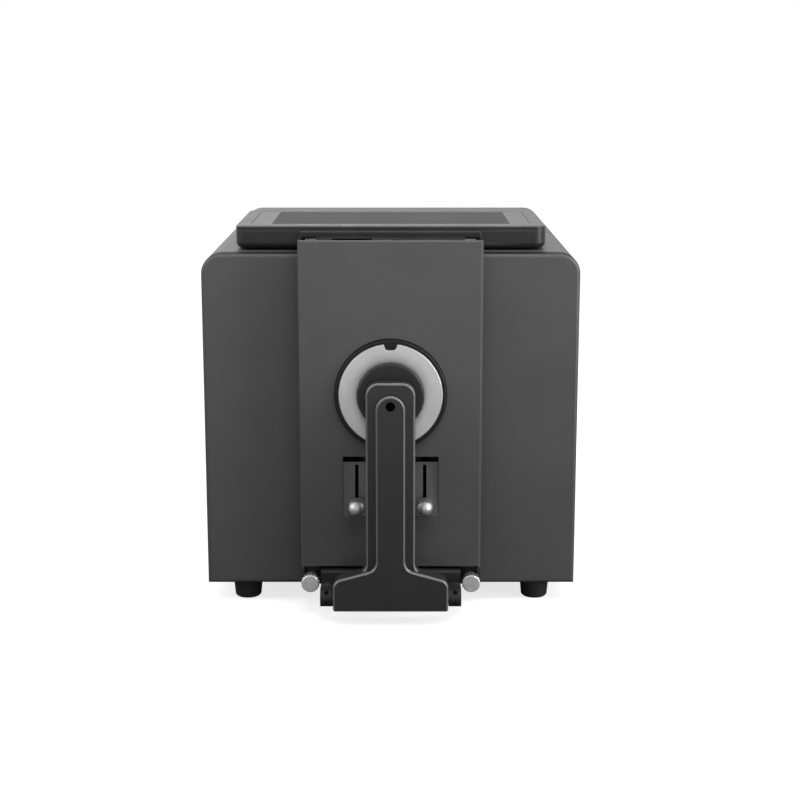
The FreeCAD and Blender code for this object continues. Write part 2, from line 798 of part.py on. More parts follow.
def sphere_reach(y):
    """Radius of the sphere where an upright plane cuts it."""
    return math.sqrt(SPHERE_R ** 2 - (y - sphere_centre().y) ** 2)


def view_tube(radius, start, end, side):
    """A round bar along the viewing line, from the port centre through the rear of the sphere."""
    port = sphere_centre() - Vector(0, SPHERE_R, 0)
    line = view_direction(side)
    return Part.makeCylinder(radius, end - start, port + line * start, line)


def view_exit():
    """How far the viewing line runs from the front of the sphere to its rear wall."""
    return 2 * SPHERE_R * math.cos(math.radians(VIEW_ANGLE))


def lamp_y():
    return sphere_centre().y - LAMP_OFFSET


def dome(radius, start, end, bands):
    """Points (radius, height) round a dome, between two angles above its widest circle."""
    turns = [start + (end - start) * i / bands for i in range(bands + 1)]
    return [(radius * math.cos(t), radius * math.sin(t)) for t in turns]


def sided_outline(radius, x, z):
    """A many-sided outline about the level line at x, z."""
    turns = [2 * math.pi * (i + 0.5) / SPHERE_SIDES for i in range(SPHERE_SIDES)]
    return [(x + radius * math.cos(t), z + radius * math.sin(t), 0) for t in turns]


def sided_y(profile, x, z):
    """A many-sided solid round the level line at x, z from a closed half profile (radius, y)."""
    rings = [[Vector(a, y, b) for a, b, _ in sided_outline(r, x, z)] for r, y in profile]
    faces = []
    for i in range(SPHERE_SIDES):
        for j in range(len(profile)):
            ring = [rings[j - 1][i - 1], rings[j][i - 1], rings[j][i], rings[j - 1][i]]
            if profile[j - 1][0] == 0:
                ring.pop(3)
            elif profile[j][0] == 0:
                ring.pop(2)
            if profile[j - 1][0] + profile[j][0] > 0:
                faces.append(Part.Face(Part.makePolygon(ring + ring[:1])))
    solid = Part.makeSolid(Part.makeShell(faces))
    if solid.Volume < 0:
        solid.reverse()
    return solid.removeSplitter()


def sphere_half(side, outer_end, inner_end, neck):
    """One hollow half with its flange; side is -1 for the front half and 1 for the rear one."""
    mid = sphere_centre().y
    inner_r = SPHERE_R - SPHERE_WALL
    flange_r = SPHERE_R + SPHERE_FLANGE
    flange_turn = math.asin(SPHERE_FLANGE_THICK / SPHERE_R)
    outer = dome(SPHERE_R, flange_turn, outer_end, SPHERE_BANDS)
    profile = [(flange_r, 0), (flange_r, SPHERE_FLANGE_THICK)] + outer + neck
    profile += reversed(dome(inner_r, 0, inner_end, SPHERE_BANDS))
    if not neck:
        profile = [(0 if near(r, 0) else r, h) for r, h in profile]
    return sided_y([(r, mid + side * h) for r, h in profile], 0, PORT_Z)


def make_sphere_halves():
    """Two hollow half spheres that meet at a flange, with the ports cut through them."""
    mid = sphere_centre().y
    inner_r = SPHERE_R - SPHERE_WALL
    bore = RING_BORE_R + 1
    neck_front = NOSE_Y - RING_PROUD + RING_THICK
    neck = [(NECK_R, mid - neck_front), (bore, mid - neck_front)]
    front = sphere_half(-1, math.acos(NECK_R / SPHERE_R), math.acos(bore / inner_r), neck)
    rear = sphere_half(1, math.pi / 2, math.pi / 2, [])
    for side in (-1, 1):
        rear = rear.cut(view_tube(VIEW_PORT_R, view_exit() - 12, view_exit() + 12, side))
    lamp_hole = rod_z(LAMP_PORT_R, 0, PORT_Z - SPHERE_R * 0.8, 0, lamp_y())
    return front.cut(lamp_hole), rear


def make_sphere_cradle():
    """The upright plate that holds the sphere by its flange, on a foot on the floor."""
    y0 = sphere_centre().y + SPHERE_FLANGE_THICK
    y1 = y0 + CRADLE_THICK
    half = SPHERE_R - CRADLE_INSET
    top = PORT_Z - CRADLE_INSET
    plate = box(-half, half, y0, y1, FLOOR_Z, top)
    plate = plate.cut(prism_y(sided_outline(SPHERE_R + CRADLE_CLEAR, 0, PORT_Z), y0 - 1, y1 + 1))
    foot = box(-half, half, y0, y0 + CRADLE_FOOT, FLOOR_Z, FLOOR_Z + CRADLE_THICK)
    cradle = joined(plate, foot)
    for x in (-half / 2, half / 2):
        rib = prism_x(
            [
                (y1, FLOOR_Z + CRADLE_THICK, 0),
                (y0 + CRADLE_FOOT, FLOOR_Z + CRADLE_THICK, 0),
                (y1, FLOOR_Z + CRADLE_RIB, 0),
            ],
            x - CRADLE_THICK / 2,
            x + CRADLE_THICK / 2,
        )
        cradle = joined(cradle, rib)
    return cradle


def make_lamp_module():
    """The flash lamp under the sphere, with its tube up into the lamp port."""
    y = lamp_y()
    half = LAMP_DEPTH / 2
    body = box(-LAMP_WIDTH / 2, LAMP_WIDTH / 2, y - half, y + half, FLOOR_Z, LAMP_TOP)
    tube_top = PORT_Z - math.sqrt(SPHERE_R ** 2 - LAMP_OFFSET ** 2) + TUBE_ENTRY
    tube = rod_z(LAMP_PORT_R - SLIP_GAP, LAMP_TOP, tube_top, 0, y)
    module = joined(body, tube)
    bore = rod_z(LAMP_PORT_R - TUBE_WALL, LAMP_TOP - CRADLE_THICK, tube_top + 1, 0, y)
    return module.cut(bore)


def make_lens_tube():
    start = view_exit() - TUBE_ENTRY
    tube = view_tube(VIEW_PORT_R - SLIP_GAP, start, start + BARREL_START, 1)
    barrel = view_tube(VIEW_PORT_R + TUBE_WALL, start + BARREL_START, start + LENS_LENGTH, 1)
    tube = joined(tube, barrel)
    return tube.cut(view_tube(VIEW_PORT_R - TUBE_WALL, start - 1, start + LENS_LENGTH + 1, 1))


def make_light_trap():
    start = view_exit() - TUBE_ENTRY
    trap = view_tube(VIEW_PORT_R - SLIP_GAP, start, start + BARREL_START, -1)
    end = start + TRAP_LENGTH
    trap = joined(trap, view_tube(VIEW_PORT_R + TUBE_WALL, start + BARREL_START, end, -1))
    return trap.cut(view_tube(VIEW_PORT_R - TUBE_WALL, start - 1, end - CRADLE_THICK, -1))


def spectrometer_front():
    """Where the spectrometer begins, clear of the tilted end of the lens tube."""
    end = view_exit() - TUBE_ENTRY + LENS_LENGTH
    tilt = math.radians(VIEW_ANGLE)
    rim = (VIEW_PORT_R + TUBE_WALL) * math.sin(tilt)
    return sphere_centre().y - SPHERE_R + end * math.cos(tilt) + rim + SLIP_GAP


def make_spectrometer():
    """The closed spectrometer casting on four legs, behind the sphere."""
    y0 = spectrometer_front()
    y1 = y0 + SPEC_DEPTH
    x0 = SPEC_X
    x1 = x0 + SPEC_WIDTH
    z0 = PORT_Z - SPEC_HEIGHT / 2
    z1 = z0 + SPEC_HEIGHT
    lap = SPEC_LID_LAP
    cut = SPEC_CORNER
    body = [(x0, y0, 0), (x1 - cut, y0, 0), (x1, y0 + cut, 0), (x1, y1, 0), (x0, y1, 0)]
    lid = [
        (x0 - lap, y0, 0),
        (x1 - cut, y0, 0),
        (x1 + lap, y0 + cut + lap, 0),
        (x1 + lap, y1 + lap, 0),
        (x0 - lap, y1 + lap, 0),
    ]
    module = joined(prism_z(body, z0, z1), prism_z(lid, z1, z1 + SPEC_LID))
    for x in (x0, x1 - SPEC_LEG):
        for y in (y0 + cut + lap, y1 - SPEC_LEG):
            module = joined(module, box(x, x + SPEC_LEG, y, y + SPEC_LEG, FLOOR_Z, z0))
    return module


def board(x0, x1, y0, y1, chips):
    """A circuit board on four hexagonal stands; chips are shares of its width and depth."""
    z = FLOOR_Z + STAND_HEIGHT
    top = z + BOARD_THICK
    wide, deep = x1 - x0, y1 - y0
    sheet = box(x0, x1, y0, y1, z, top)
    for left, right, front, back, height in chips:
        chip = box(
            x0 + wide * left, x0 + wide * right, y0 + deep * front, y0 + deep * back, top, top + height
        )
        sheet = joined(sheet, chip)
    stands = []
    for x in (x0 + BOARD_INSET, x1 - BOARD_INSET):
        for y in (y0 + BOARD_INSET, y1 - BOARD_INSET):
            stands.append(prism_z(hexagon(STAND_R, x, y), FLOOR_Z, z))
    return sheet, stands


def make_dc_inlet():
    """The round supply inlet, with a hole round its centre pin."""
    front = REAR_PANEL_Y + DC_PROUD
    body = rod_y(DC_R, REAR_PANEL_Y - DC_BODY, REAR_PANEL_Y, DC_X, SOCKET_Z)
    rim = rod_y(DC_R + DC_RIM, REAR_PANEL_Y, front, DC_X, SOCKET_Z)
    inlet = joined(body, rim)
    inlet = inlet.cut(rod_y(DC_BORE_R, front - DC_DEPTH, front + 1, DC_X, SOCKET_Z))
    pin = rod_y(DC_PIN_R, front - DC_DEPTH, front - SOCKET_SET_BACK, DC_X, SOCKET_Z)
    return joined(inlet, pin)


def make_usb_socket():
    """The square data socket, a shell round its tongue."""
    front = REAR_PANEL_Y + USB_PROUD
    floor = front - USB_DEPTH
    shell = centred_box(USB_X, USB_WIDTH, USB_HEIGHT, REAR_PANEL_Y - USB_BODY, front)
    inner_w = USB_WIDTH - 2 * USB_WALL
    inner_h = USB_HEIGHT - 2 * USB_WALL
    shell = shell.cut(centred_box(USB_X, inner_w, inner_h, floor, front + 1))
    tip = front - SOCKET_SET_BACK
    return joined(shell, centred_box(USB_X, USB_TONGUE_WIDTH, USB_TONGUE, floor, tip))


def make_serial_port():
    """The serial connector: its shell stands proud of the panel between two hexagonal posts."""
    back = REAR_PANEL_Y - SERIAL_BODY
    y0, y1 = REAR_PANEL_Y + SERIAL_PLATE, REAR_PANEL_Y + SERIAL_PROUD
    body = centred_box(SERIAL_X, SERIAL_WIDTH, SERIAL_HEIGHT, back, REAR_PANEL_Y)
    plate = centred_box(SERIAL_X, SERIAL_WIDTH + 2, SERIAL_HEIGHT + 2, REAR_PANEL_Y, y0)
    top, low = SOCKET_Z + SERIAL_SHELL_HALF, SOCKET_Z - SERIAL_SHELL_HALF
    outline = [
        (SERIAL_X - SERIAL_SHELL_TOP, top, 0),
        (SERIAL_X + SERIAL_SHELL_TOP, top, 0),
        (SERIAL_X + SERIAL_SHELL_LOW, low, 0),
        (SERIAL_X - SERIAL_SHELL_LOW, low, 0),
    ]
    port = joined(body, plate, prism_y(outline, y0, y1))
    for x in (SERIAL_X - SERIAL_POST_X, SERIAL_X + SERIAL_POST_X):
        port = joined(port, prism_y(hexagon(SERIAL_POST_R, x, SOCKET_Z), y0, y1))
    return port


def make_switch_frame():
    """The frame of the power switch round its rocker, with the two pins that the rocker turns on."""
    front = REAR_PANEL_Y + SWITCH_PROUD
    rim = 2 * SWITCH_RIM
    body = centred_box(SWITCH_X, SWITCH_WIDTH, SWITCH_HEIGHT, REAR_PANEL_Y - SWITCH_BODY, REAR_PANEL_Y)
    lip = centred_box(SWITCH_X, SWITCH_WIDTH + rim, SWITCH_HEIGHT + rim, REAR_PANEL_Y, front)
    frame = joined(body, lip)
    width = SWITCH_WIDTH - 2 * SWITCH_FRAME
    height = SWITCH_HEIGHT - 2 * SWITCH_FRAME
    well = centred_box(SWITCH_X, width, height, REAR_PANEL_Y - SWITCH_WELL, front + 1)
    frame = frame.cut(well)
    pivot_y = REAR_PANEL_Y - ROCKER_PIVOT
    for wall, tip in ((-width / 2, ROCKER_PIN - width / 2), (width / 2 - ROCKER_PIN, width / 2)):
        pin = rod_x(ROCKER_PIN_R, SWITCH_X + wall, SWITCH_X + tip, pivot_y, SOCKET_Z)
        frame = joined(frame, pin)
    return frame


def make_rocker():
    """The rocker key, dished in the middle, bored for its two pivot pins."""
    half_w = SWITCH_WIDTH / 2 - SWITCH_FRAME - SIDE_GAP
    half_h = SWITCH_HEIGHT / 2 - SWITCH_FRAME - 2 * SIDE_GAP
    back = REAR_PANEL_Y - ROCKER_BACK
    front = REAR_PANEL_Y + ROCKER_FRONT
    edge = front - ROCKER_SLOPE
    tip = half_h - ROCKER_TIP
    corners = [
        (back, SOCKET_Z - ROCKER_HEEL, 0),
        (edge, SOCKET_Z - half_h, 0),
        (front, SOCKET_Z - tip, 0),
        (front - ROCKER_DISH, SOCKET_Z, 0),
        (front, SOCKET_Z + tip, 0),
        (edge, SOCKET_Z + half_h, 0),
        (back, SOCKET_Z + ROCKER_HEEL, 0),
    ]
    key = prism_x(corners, SWITCH_X - half_w, SWITCH_X + half_w)
    pivot = Vector(SWITCH_X, REAR_PANEL_Y - ROCKER_PIVOT, SOCKET_Z)
    bore_r = ROCKER_PIN_R + RUN_GAP
    key = key.cut(rod_x(bore_r, SWITCH_X - half_w - 1, SWITCH_X + half_w + 1, pivot.y, pivot.z))
    key.rotate(pivot, Vector(1, 0, 0), ROCKER_SWING)
    return key


ARM_Y = FRONT_Y - ARM_REACH
ARM_HINGE_Y = FRONT_Y - ARM_HINGE_REACH
EAR_INNER_X = ARM_BASE_WIDTH / 2 + EAR_GAP
EAR_OUTER_X = EAR_INNER_X + EAR_WIDTH


def make_arm_carrier():
    """The block that carries the arm hinge between its two ears, on a plate on the front."""
    plate_y = FRONT_Y - CARRIER_PLATE
    block_y = plate_y - CARRIER_BLOCK
    half = NOSE_WIDTH / 2 - NOSE_WALL - CARRIER_SIDE_GAP
    plate = box(-half, half, plate_y, FRONT_Y, CARRIER_BOTTOM, CARRIER_TOP)
    block_top = CARRIER_TOP - CARRIER_STEP
    block = box(-EAR_OUTER_X, EAR_OUTER_X, block_y, plate_y, CARRIER_BOTTOM, block_top)
    block = block.makeChamfer(
        CARRIER_EDGE, edges_on(block, lambda p: near(p.y, block_y) and near(p.z, block_top))
    )
    carrier = joined(plate, block)
    for x in (-THUMB_X, THUMB_X):
        hole = rod_y(THUMB_SHANK_R + SLOT_GAP, plate_y - 1, FRONT_Y + 1, x, THUMB_Z)
        carrier = carrier.cut(hole)
    tip = ARM_HINGE_Y - KNUCKLE_R
    low, high = ARM_HINGE_Z - KNUCKLE_R, ARM_HINGE_Z + KNUCKLE_R
    ear = prism_x(
        [
            (tip, low, KNUCKLE_R),
            (tip, high, KNUCKLE_R),
            (block_y + 1, high, 0),
            (block_y + 1, CARRIER_BOTTOM, 0),
            (ARM_HINGE_Y + KNUCKLE_R, low, EAR_HEEL_R),
        ],
        EAR_INNER_X,
        EAR_OUTER_X,
    )
    ear = ear.cut(rod_x(ARM_PIN_R, EAR_INNER_X - 1, EAR_OUTER_X + 1, ARM_HINGE_Y, ARM_HINGE_Z))
    for x, z in ear_screw_places():
        ear = ear.cut(prism_y(hexagon(EAR_SCREW_R, x, z), tip - 1, ear_screw_floor()))
    return joined(carrier, *both_sides(ear))


def ear_screw_places():
    x = EAR_INNER_X + EAR_WIDTH / 2
    return [(x, ARM_HINGE_Z - EAR_SCREW_DOWN), (x, ARM_HINGE_Z + EAR_SCREW_UP)]


def ear_screw_floor():
    drop = KNUCKLE_R - math.sqrt(KNUCKLE_R ** 2 - EAR_SCREW_UP ** 2)
    return ARM_HINGE_Y - KNUCKLE_R + drop + EAR_SCREW_DEPTH


def flange_outline():
    """The flat stem behind the rib, seen from the front, flared where it enters the base."""
    half = ARM_WIDTH / 2
    wide = half + ARM_FLARE
    flare_z = ARM_NECK_Z - ARM_FLARE_DROP
    return [
        (-wide, ARM_HINGE_Z, 0),
        (-wide, flare_z, 0),
        (-half, ARM_NECK_Z + ARM_RIB_RAISE, ARM_NECK_R),
        (-half, ARM_TOP, ARM_TOP_R),
        (half, ARM_TOP, ARM_TOP_R),
        (half, ARM_NECK_Z + ARM_RIB_RAISE, ARM_NECK_R),
        (wide, flare_z, 0),
        (wide, ARM_HINGE_Z, 0),
    ]


def rib_outline():
    """The raised rib and the wide base, seen from the front."""
    half = ARM_RIB_WIDTH / 2
    base_half = ARM_BASE_WIDTH / 2
    low = ARM_HINGE_Z - KNUCKLE_R
    neck_z = ARM_NECK_Z + ARM_RIB_RAISE
    return [
        (-base_half, low, ARM_BASE_R),
        (-base_half, ARM_SHOULDER_Z, ARM_SHOULDER_R),
        (-half, neck_z, ARM_NECK_R),
        (-half, ARM_RIB_TOP, half),
        (half, ARM_RIB_TOP, half),
        (half, neck_z, ARM_NECK_R),
        (base_half, ARM_SHOULDER_Z, ARM_SHOULDER_R),
        (base_half, low, ARM_BASE_R),
    ]


def make_clamp_arm():
    """The swinging arm: a flat stem with a raised rib, on a wide base round the hinge pin."""
    base_half = ARM_BASE_WIDTH / 2
    flange_y = ARM_Y + ARM_RIB_RISE
    flange = prism_y(flange_outline(), flange_y, ARM_HINGE_Y)
    flange = flange.makeChamfer(ARM_EDGE, edges_on(flange, lambda p: near(p.y, flange_y)))
    rib = prism_y(rib_outline(), ARM_Y, ARM_HINGE_Y)
    rib = rib.makeChamfer(ARM_EDGE, edges_on(rib, lambda p: near(p.y, ARM_Y)))
    knuckle = rod_x(KNUCKLE_R, -base_half, base_half, ARM_HINGE_Y, ARM_HINGE_Z)
    arm = joined(rib, flange, knuckle)
    arm = arm.cut(
        rod_x(ARM_PIN_R + RUN_GAP, -base_half - 1, base_half + 1, ARM_HINGE_Y, ARM_HINGE_Z)
    )
    half_pocket = SPRING_POCKET / 2
    pocket_r = SPRING_R + SLIP_GAP
    arm = arm.cut(rod_x(pocket_r, -half_pocket, half_pocket, ARM_HINGE_Y, ARM_HINGE_Z))
    back = ARM_HINGE_Y + KNUCKLE_R + 1
    low, high = ARM_HINGE_Z - pocket_r, ARM_HINGE_Z + pocket_r
    arm = arm.cut(box(-half_pocket, half_pocket, ARM_HINGE_Y, back, low, high))
    arm = arm.cut(rod_y(ARM_HOLE_R, ARM_Y - 1, ARM_Y + ARM_HOLE_DEPTH, 0, ARM_HOLE_Z))
    bore_end = ARM_HINGE_Y - STEM_ENTRY - STEM_TRAVEL - SLIP_GAP
    return arm.cut(rod_y(STEM_R + RUN_GAP, bore_end, ARM_HINGE_Y + 1, 0, PORT_Z))


def make_arm_pin():
    return rod_x(ARM_PIN_R, -EAR_OUTER_X, EAR_OUTER_X, ARM_HINGE_Y, ARM_HINGE_Z)


def make_arm_spring():
    """The torsion spring round the pin, as the closed sleeve that its coils fill."""
    half = SPRING_POCKET / 2 - SLIP_GAP
    coil = rod_x(SPRING_R, -half, half, ARM_HINGE_Y, ARM_HINGE_Z)
    bore = rod_x(SPRING_R - SPRING_WIRE, -half - 1, half + 1, ARM_HINGE_Y, ARM_HINGE_Z)
    return coil.cut(bore)


def pad_face_y():
    """Where the pad face stops, just clear of the dished seat of the ring."""
    slope = RING_CONE_DEPTH / (RING_CONE_R - RING_BORE_R)
    return NOSE_Y - RING_PROUD + (RING_CONE_R - PAD_R) * slope - PAD_GAP


def make_clamp_pad():
    face = pad_face_y()
    corners = [
        (0, face - PAD_THICK, 0),
        (0, face, 0),
        (PAD_R - PAD_EDGE, face, 0),
        (PAD_R, face - PAD_EDGE, 0),
        (PAD_R, face - PAD_THICK, 0),
    ]
    return turned_y(corners, 0, PORT_Z)


def make_pad_plate():
    """The plate behind the pad on the stem that slides in the arm."""
    back = pad_face_y() - PAD_THICK
    front = back - PAD_PLATE
    end = ARM_HINGE_Y - STEM_ENTRY
    corners = [
        (0, end, 0),
        (STEM_R, end, 0),
        (STEM_R, front - PAD_BOSS, 0),
        (STEM_R + PAD_BOSS, front, 0),
        (PAD_R - PAD_EDGE, front, 0),
        (PAD_R, front + PAD_EDGE, 0),
        (PAD_R, back, 0),
        (0, back, 0),
    ]
    return turned_y(corners, 0, PORT_Z)


def make_thumb_screw():
    """A thumb screw with a grooved rim, at the right side of the carrier."""
    tip = FRONT_Y - THUMB_STAND
    back = tip + THUMB_HEAD
    rim = []
    for i in range(2 * THUMB_GRIPS):
        turn = math.pi * i / THUMB_GRIPS
        radius = THUMB_R - THUMB_GRIP * (i % 2)
        rim.append((THUMB_X + radius * math.cos(turn), THUMB_Z + radius * math.sin(turn), 0))
    head = prism_y(rim, tip, back)
    blank = [
        (0, tip, 0),
        (THUMB_R - THUMB_EDGE, tip, 0),
        (THUMB_R, tip + THUMB_EDGE, 0),
        (THUMB_R, back, 0),
        (0, back, 0),
    ]
    head = head.common(turned_y(blank, THUMB_X, THUMB_Z))
    seat = FRONT_Y - CARRIER_PLATE - SLOT_GAP
    collar = rod_y(THUMB_COLLAR_R, back, seat, THUMB_X, THUMB_Z)
    shank = rod_y(THUMB_SHANK_R, seat, FRONT_Y + FRONT_PLATE - THUMB_SHORT, THUMB_X, THUMB_Z)
    return joined(head, collar, shank)


DISPLAY_Y = FRONT_Y + DISPLAY_SETBACK
DISPLAY_BACK = DISPLAY_Y + DISPLAY_DEPTH
DISPLAY_Z = CASE_TOP + DISPLAY_GAP
DISPLAY_TOP = DISPLAY_Z + DISPLAY_THICK
BEZEL_Z = DISPLAY_TOP - BEZEL_THICK


def display_plan(inset, radius):
    half = DISPLAY_WIDTH / 2 - inset
    return rectangle(-half, half, DISPLAY_Y + inset, DISPLAY_BACK - inset, radius)


def make_display_housing():
    """The tray under the screen, rounded below, with the hinge rail and its two knuckles."""
    body = prism_z(display_plan(0, DISPLAY_CORNER_R), DISPLAY_Z, BEZEL_Z)
    body = body.makeFillet(DISPLAY_UNDER_R, edges_on(body, lambda p: near(p.z, DISPLAY_Z)))
    rail_front = HINGE_Y + HINGE_R + RAIL_GAP
    rail = box(
        -NOSE_WIDTH / 2,
        NOSE_WIDTH / 2,
        rail_front,
        DISPLAY_Y + DISPLAY_UNDER_R,
        CASE_TOP + RAIL_BOTTOM_RISE,
        DISPLAY_TOP - RAIL_TOP_DROP,
    )
    body = joined(body, rail)
    low = POCKET_OUTER_X - POCKET_WIDTH + SIDE_GAP
    high = POCKET_OUTER_X - SIDE_GAP
    radius = HINGE_PIN_R + KNUCKLE_WALL
    knuckle = rod_x(radius, low, high, HINGE_Y, HINGE_Z)
    web = box(low, high, HINGE_Y, rail_front + 1, HINGE_Z - radius, HINGE_Z + radius)
    arm = joined(knuckle, web)
    body = joined(body, *both_sides(arm))
    cavity = prism_z(
        display_plan(DISPLAY_WALL, DISPLAY_CORNER_R - DISPLAY_WALL),
        DISPLAY_Z + DISPLAY_WALL,
        BEZEL_Z + 1,
    )
    body = body.cut(cavity)
    bore = HINGE_PIN_R + RUN_GAP
    return body.cut(rod_x(bore, -CASE_WIDTH / 2, CASE_WIDTH / 2, HINGE_Y, HINGE_Z))


def glass_outline(inset):
    half = DISPLAY_WIDTH / 2 - GLASS_MARGIN - inset
    front = DISPLAY_Y + GLASS_MARGIN + inset
    back = DISPLAY_BACK - GLASS_MARGIN - inset
    return rectangle(-half, half, front, back, GLASS_R)


def screen_box(grow, z0, z1):
    half = SCREEN_WIDTH / 2 + grow
    front = DISPLAY_Y + SCREEN_FRONT_MARGIN
    return box(-half, half, front - grow, front + SCREEN_DEPTH + grow, z0, z1)


def make_display_bezel():
    """The flat frame on top, sunk for the glass and open over the screen."""
    frame = prism_z(display_plan(0, DISPLAY_CORNER_R), BEZEL_Z, DISPLAY_TOP)
    frame = frame.makeChamfer(BEZEL_EDGE, edges_on(frame, lambda p: near(p.z, DISPLAY_TOP)))
    seat = DISPLAY_TOP - GLASS_SINK - GLASS_THICK
    frame = frame.cut(prism_z(glass_outline(0), seat, DISPLAY_TOP + 1))
    return frame.cut(screen_box(0, BEZEL_Z - 1, seat + 1))


def make_display_glass():
    seat = DISPLAY_TOP - GLASS_SINK - GLASS_THICK
    return prism_z(glass_outline(SLIP_GAP), seat, seat + GLASS_THICK)


def make_display_panel():
    return screen_box(PANEL_EDGE, BEZEL_Z - PANEL_THICK, BEZEL_Z)


def make_display_board():
    """The display's own board on four stands on the tray floor."""
    floor = DISPLAY_Z + DISPLAY_WALL
    z = floor + DISPLAY_BOARD_RAISE
    half = DISPLAY_BOARD_WIDTH / 2
    y0 = DISPLAY_Y + DISPLAY_BOARD_ENTRY
    y1 = y0 + DISPLAY_BOARD_DEPTH
    sheet = box(-half, half, y0, y1, z, z + BOARD_THICK)
    for x in (BOARD_INSET - half, half - BOARD_INSET):
        for y in (y0 + BOARD_INSET, y1 - BOARD_INSET):
            sheet = joined(sheet, prism_z(hexagon(STAND_R, x, y), floor, z))
    return sheet


def make_display_rests():
    """The rubber strips under the display that meet the top of the casing."""
    rests = []
    for side in (-1, 1):
        x = side * (DISPLAY_WIDTH / 2 - REST_INSET)
        for y in (DISPLAY_Y + REST_INSET, DISPLAY_BACK - REST_INSET):
            y0, y1 = y - REST_DEPTH / 2, y + REST_DEPTH / 2
            low = CASE_TOP + REST_CLEAR
            rests.append(box(x - REST_HALF, x + REST_HALF, y0, y1, low, DISPLAY_Z))
    return rests


def main():
    os.makedirs("parts", exist_ok=True)
    export("front_plate", make_front_plate())
    export("wrap_cover", make_wrap_cover())
    export("base_tray", make_base_tray())
    export("rear_panel", make_rear_panel())
    export("rear_panel_screws", *make_panel_screws())
    export("feet", *[make_foot(x, y) for x, y in foot_places()])
    export("foot_screws", *[make_foot_screw(x, y) for x, y in foot_places()])
    export("nose_shell", make_nose_shell())
    export("display_hinge_pins", *make_hinge_pins())
    export("lever_plate", make_lever_plate())
    export("lever_rods", *make_lever_rods())
    carriages = both_sides(make_lever_carriage())
    knobs = both_sides(make_lever_knob())
    for name, carriage, knob in zip(("right", "left"), carriages, knobs):
        export("lever_carriage_" + name, carriage)
        export("lever_knob_" + name, knob)
    export("port_bezel", make_port_bezel())
    export("aperture_ring", make_aperture_ring())
    front_half, rear_half = make_sphere_halves()
    export("sphere_front_half", front_half)
    export("sphere_rear_half", rear_half)
    export("sphere_cradle", make_sphere_cradle())
    export("lamp_module", make_lamp_module())
    export("lens_tube", make_lens_tube())
    export("light_trap", make_light_trap())
    export("spectrometer_module", make_spectrometer())
    main_sheet, main_stands = board(
        MAIN_BOARD_SIDE - INSIDE_X,
        SPEC_X - BOARD_INSET,
        sphere_centre().y + MAIN_BOARD_ENTRY,
        REAR_PANEL_Y - MAIN_BOARD_BACK,
        MAIN_CHIPS,
    )
    power_y = spectrometer_front() + POWER_BOARD_ENTRY
    power_sheet, power_stands = board(
        SPEC_X + SPEC_LEG + 2 * SPEC_LID_LAP,
        SPEC_X + SPEC_WIDTH - 2 * SPEC_LEG,
        power_y,
        power_y + POWER_BOARD_DEPTH,
        POWER_CHIPS,
    )
    export("main_board", main_sheet)
    export("power_board", power_sheet)
    export("board_stands", *main_stands, *power_stands)
    export("dc_inlet", make_dc_inlet())
    export("usb_socket", make_usb_socket())
    export("serial_port", make_serial_port())
    export("power_switch_frame", make_switch_frame())
    export("power_rocker", make_rocker())
    export("arm_carrier", make_arm_carrier())
    export("arm_hinge_pin", make_arm_pin())
    export("clamp_arm", make_clamp_arm())
    export("arm_spring", make_arm_spring())
    export("clamp_pad", make_clamp_pad())
    export("pad_plate", make_pad_plate())
    right_screw, left_screw = both_sides(make_thumb_screw())
    export("thumb_screw_right", right_screw)
    export("thumb_screw_left", left_screw)
    export("display_housing", make_display_housing())
    export("display_bezel", make_display_bezel())
    export("display_glass", make_display_glass())
    export("display_panel", make_display_panel())
    export("display_board", make_display_board())
    export("display_rests", *make_display_rests())


main()
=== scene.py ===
import json
import math

import bmesh
import bpy
from mathutils import Euler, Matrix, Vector


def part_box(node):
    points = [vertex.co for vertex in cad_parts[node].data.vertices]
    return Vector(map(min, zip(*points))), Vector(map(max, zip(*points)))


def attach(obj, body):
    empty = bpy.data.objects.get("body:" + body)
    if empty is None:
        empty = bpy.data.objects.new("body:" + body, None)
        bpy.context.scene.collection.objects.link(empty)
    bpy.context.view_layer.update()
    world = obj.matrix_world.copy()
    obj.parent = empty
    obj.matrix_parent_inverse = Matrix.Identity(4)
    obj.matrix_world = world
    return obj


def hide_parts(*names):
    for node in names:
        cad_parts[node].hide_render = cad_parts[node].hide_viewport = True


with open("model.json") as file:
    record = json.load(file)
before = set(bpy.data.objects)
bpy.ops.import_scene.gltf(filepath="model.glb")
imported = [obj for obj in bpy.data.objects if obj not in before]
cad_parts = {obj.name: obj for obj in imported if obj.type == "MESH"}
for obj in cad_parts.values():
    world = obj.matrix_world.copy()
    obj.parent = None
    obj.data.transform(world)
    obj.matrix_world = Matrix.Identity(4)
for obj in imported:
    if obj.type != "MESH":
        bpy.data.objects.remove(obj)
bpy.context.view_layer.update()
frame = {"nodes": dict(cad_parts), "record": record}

MM = 0.001
NODES = frame["nodes"]
BODY_OF = {}
for body_name, members in frame["record"]["behaviour"]["bodies"].items():
    for member in members:
        BODY_OF[member] = body_name
SLOT_OF = {part["node"]: part["material_slot"] for part in frame["record"]["subparts"]}


# Node helpers, for the finishes and for the studio.


def grey(level, warmth=0.0):
    return (level * (1 + warmth), level, level * (1 - warmth))


def ranged(tree, value, low, high, out_low, out_high):
    """A value's stretch from low to high, brought to another range."""
    span = tree.nodes.new("ShaderNodeMapRange")
    span.inputs["From Min"].default_value = low
    span.inputs["From Max"].default_value = high
    span.inputs["To Min"].default_value = out_low
    span.inputs["To Max"].default_value = out_high
    tree.links.new(value, span.inputs["Value"])
    return span.outputs["Result"]


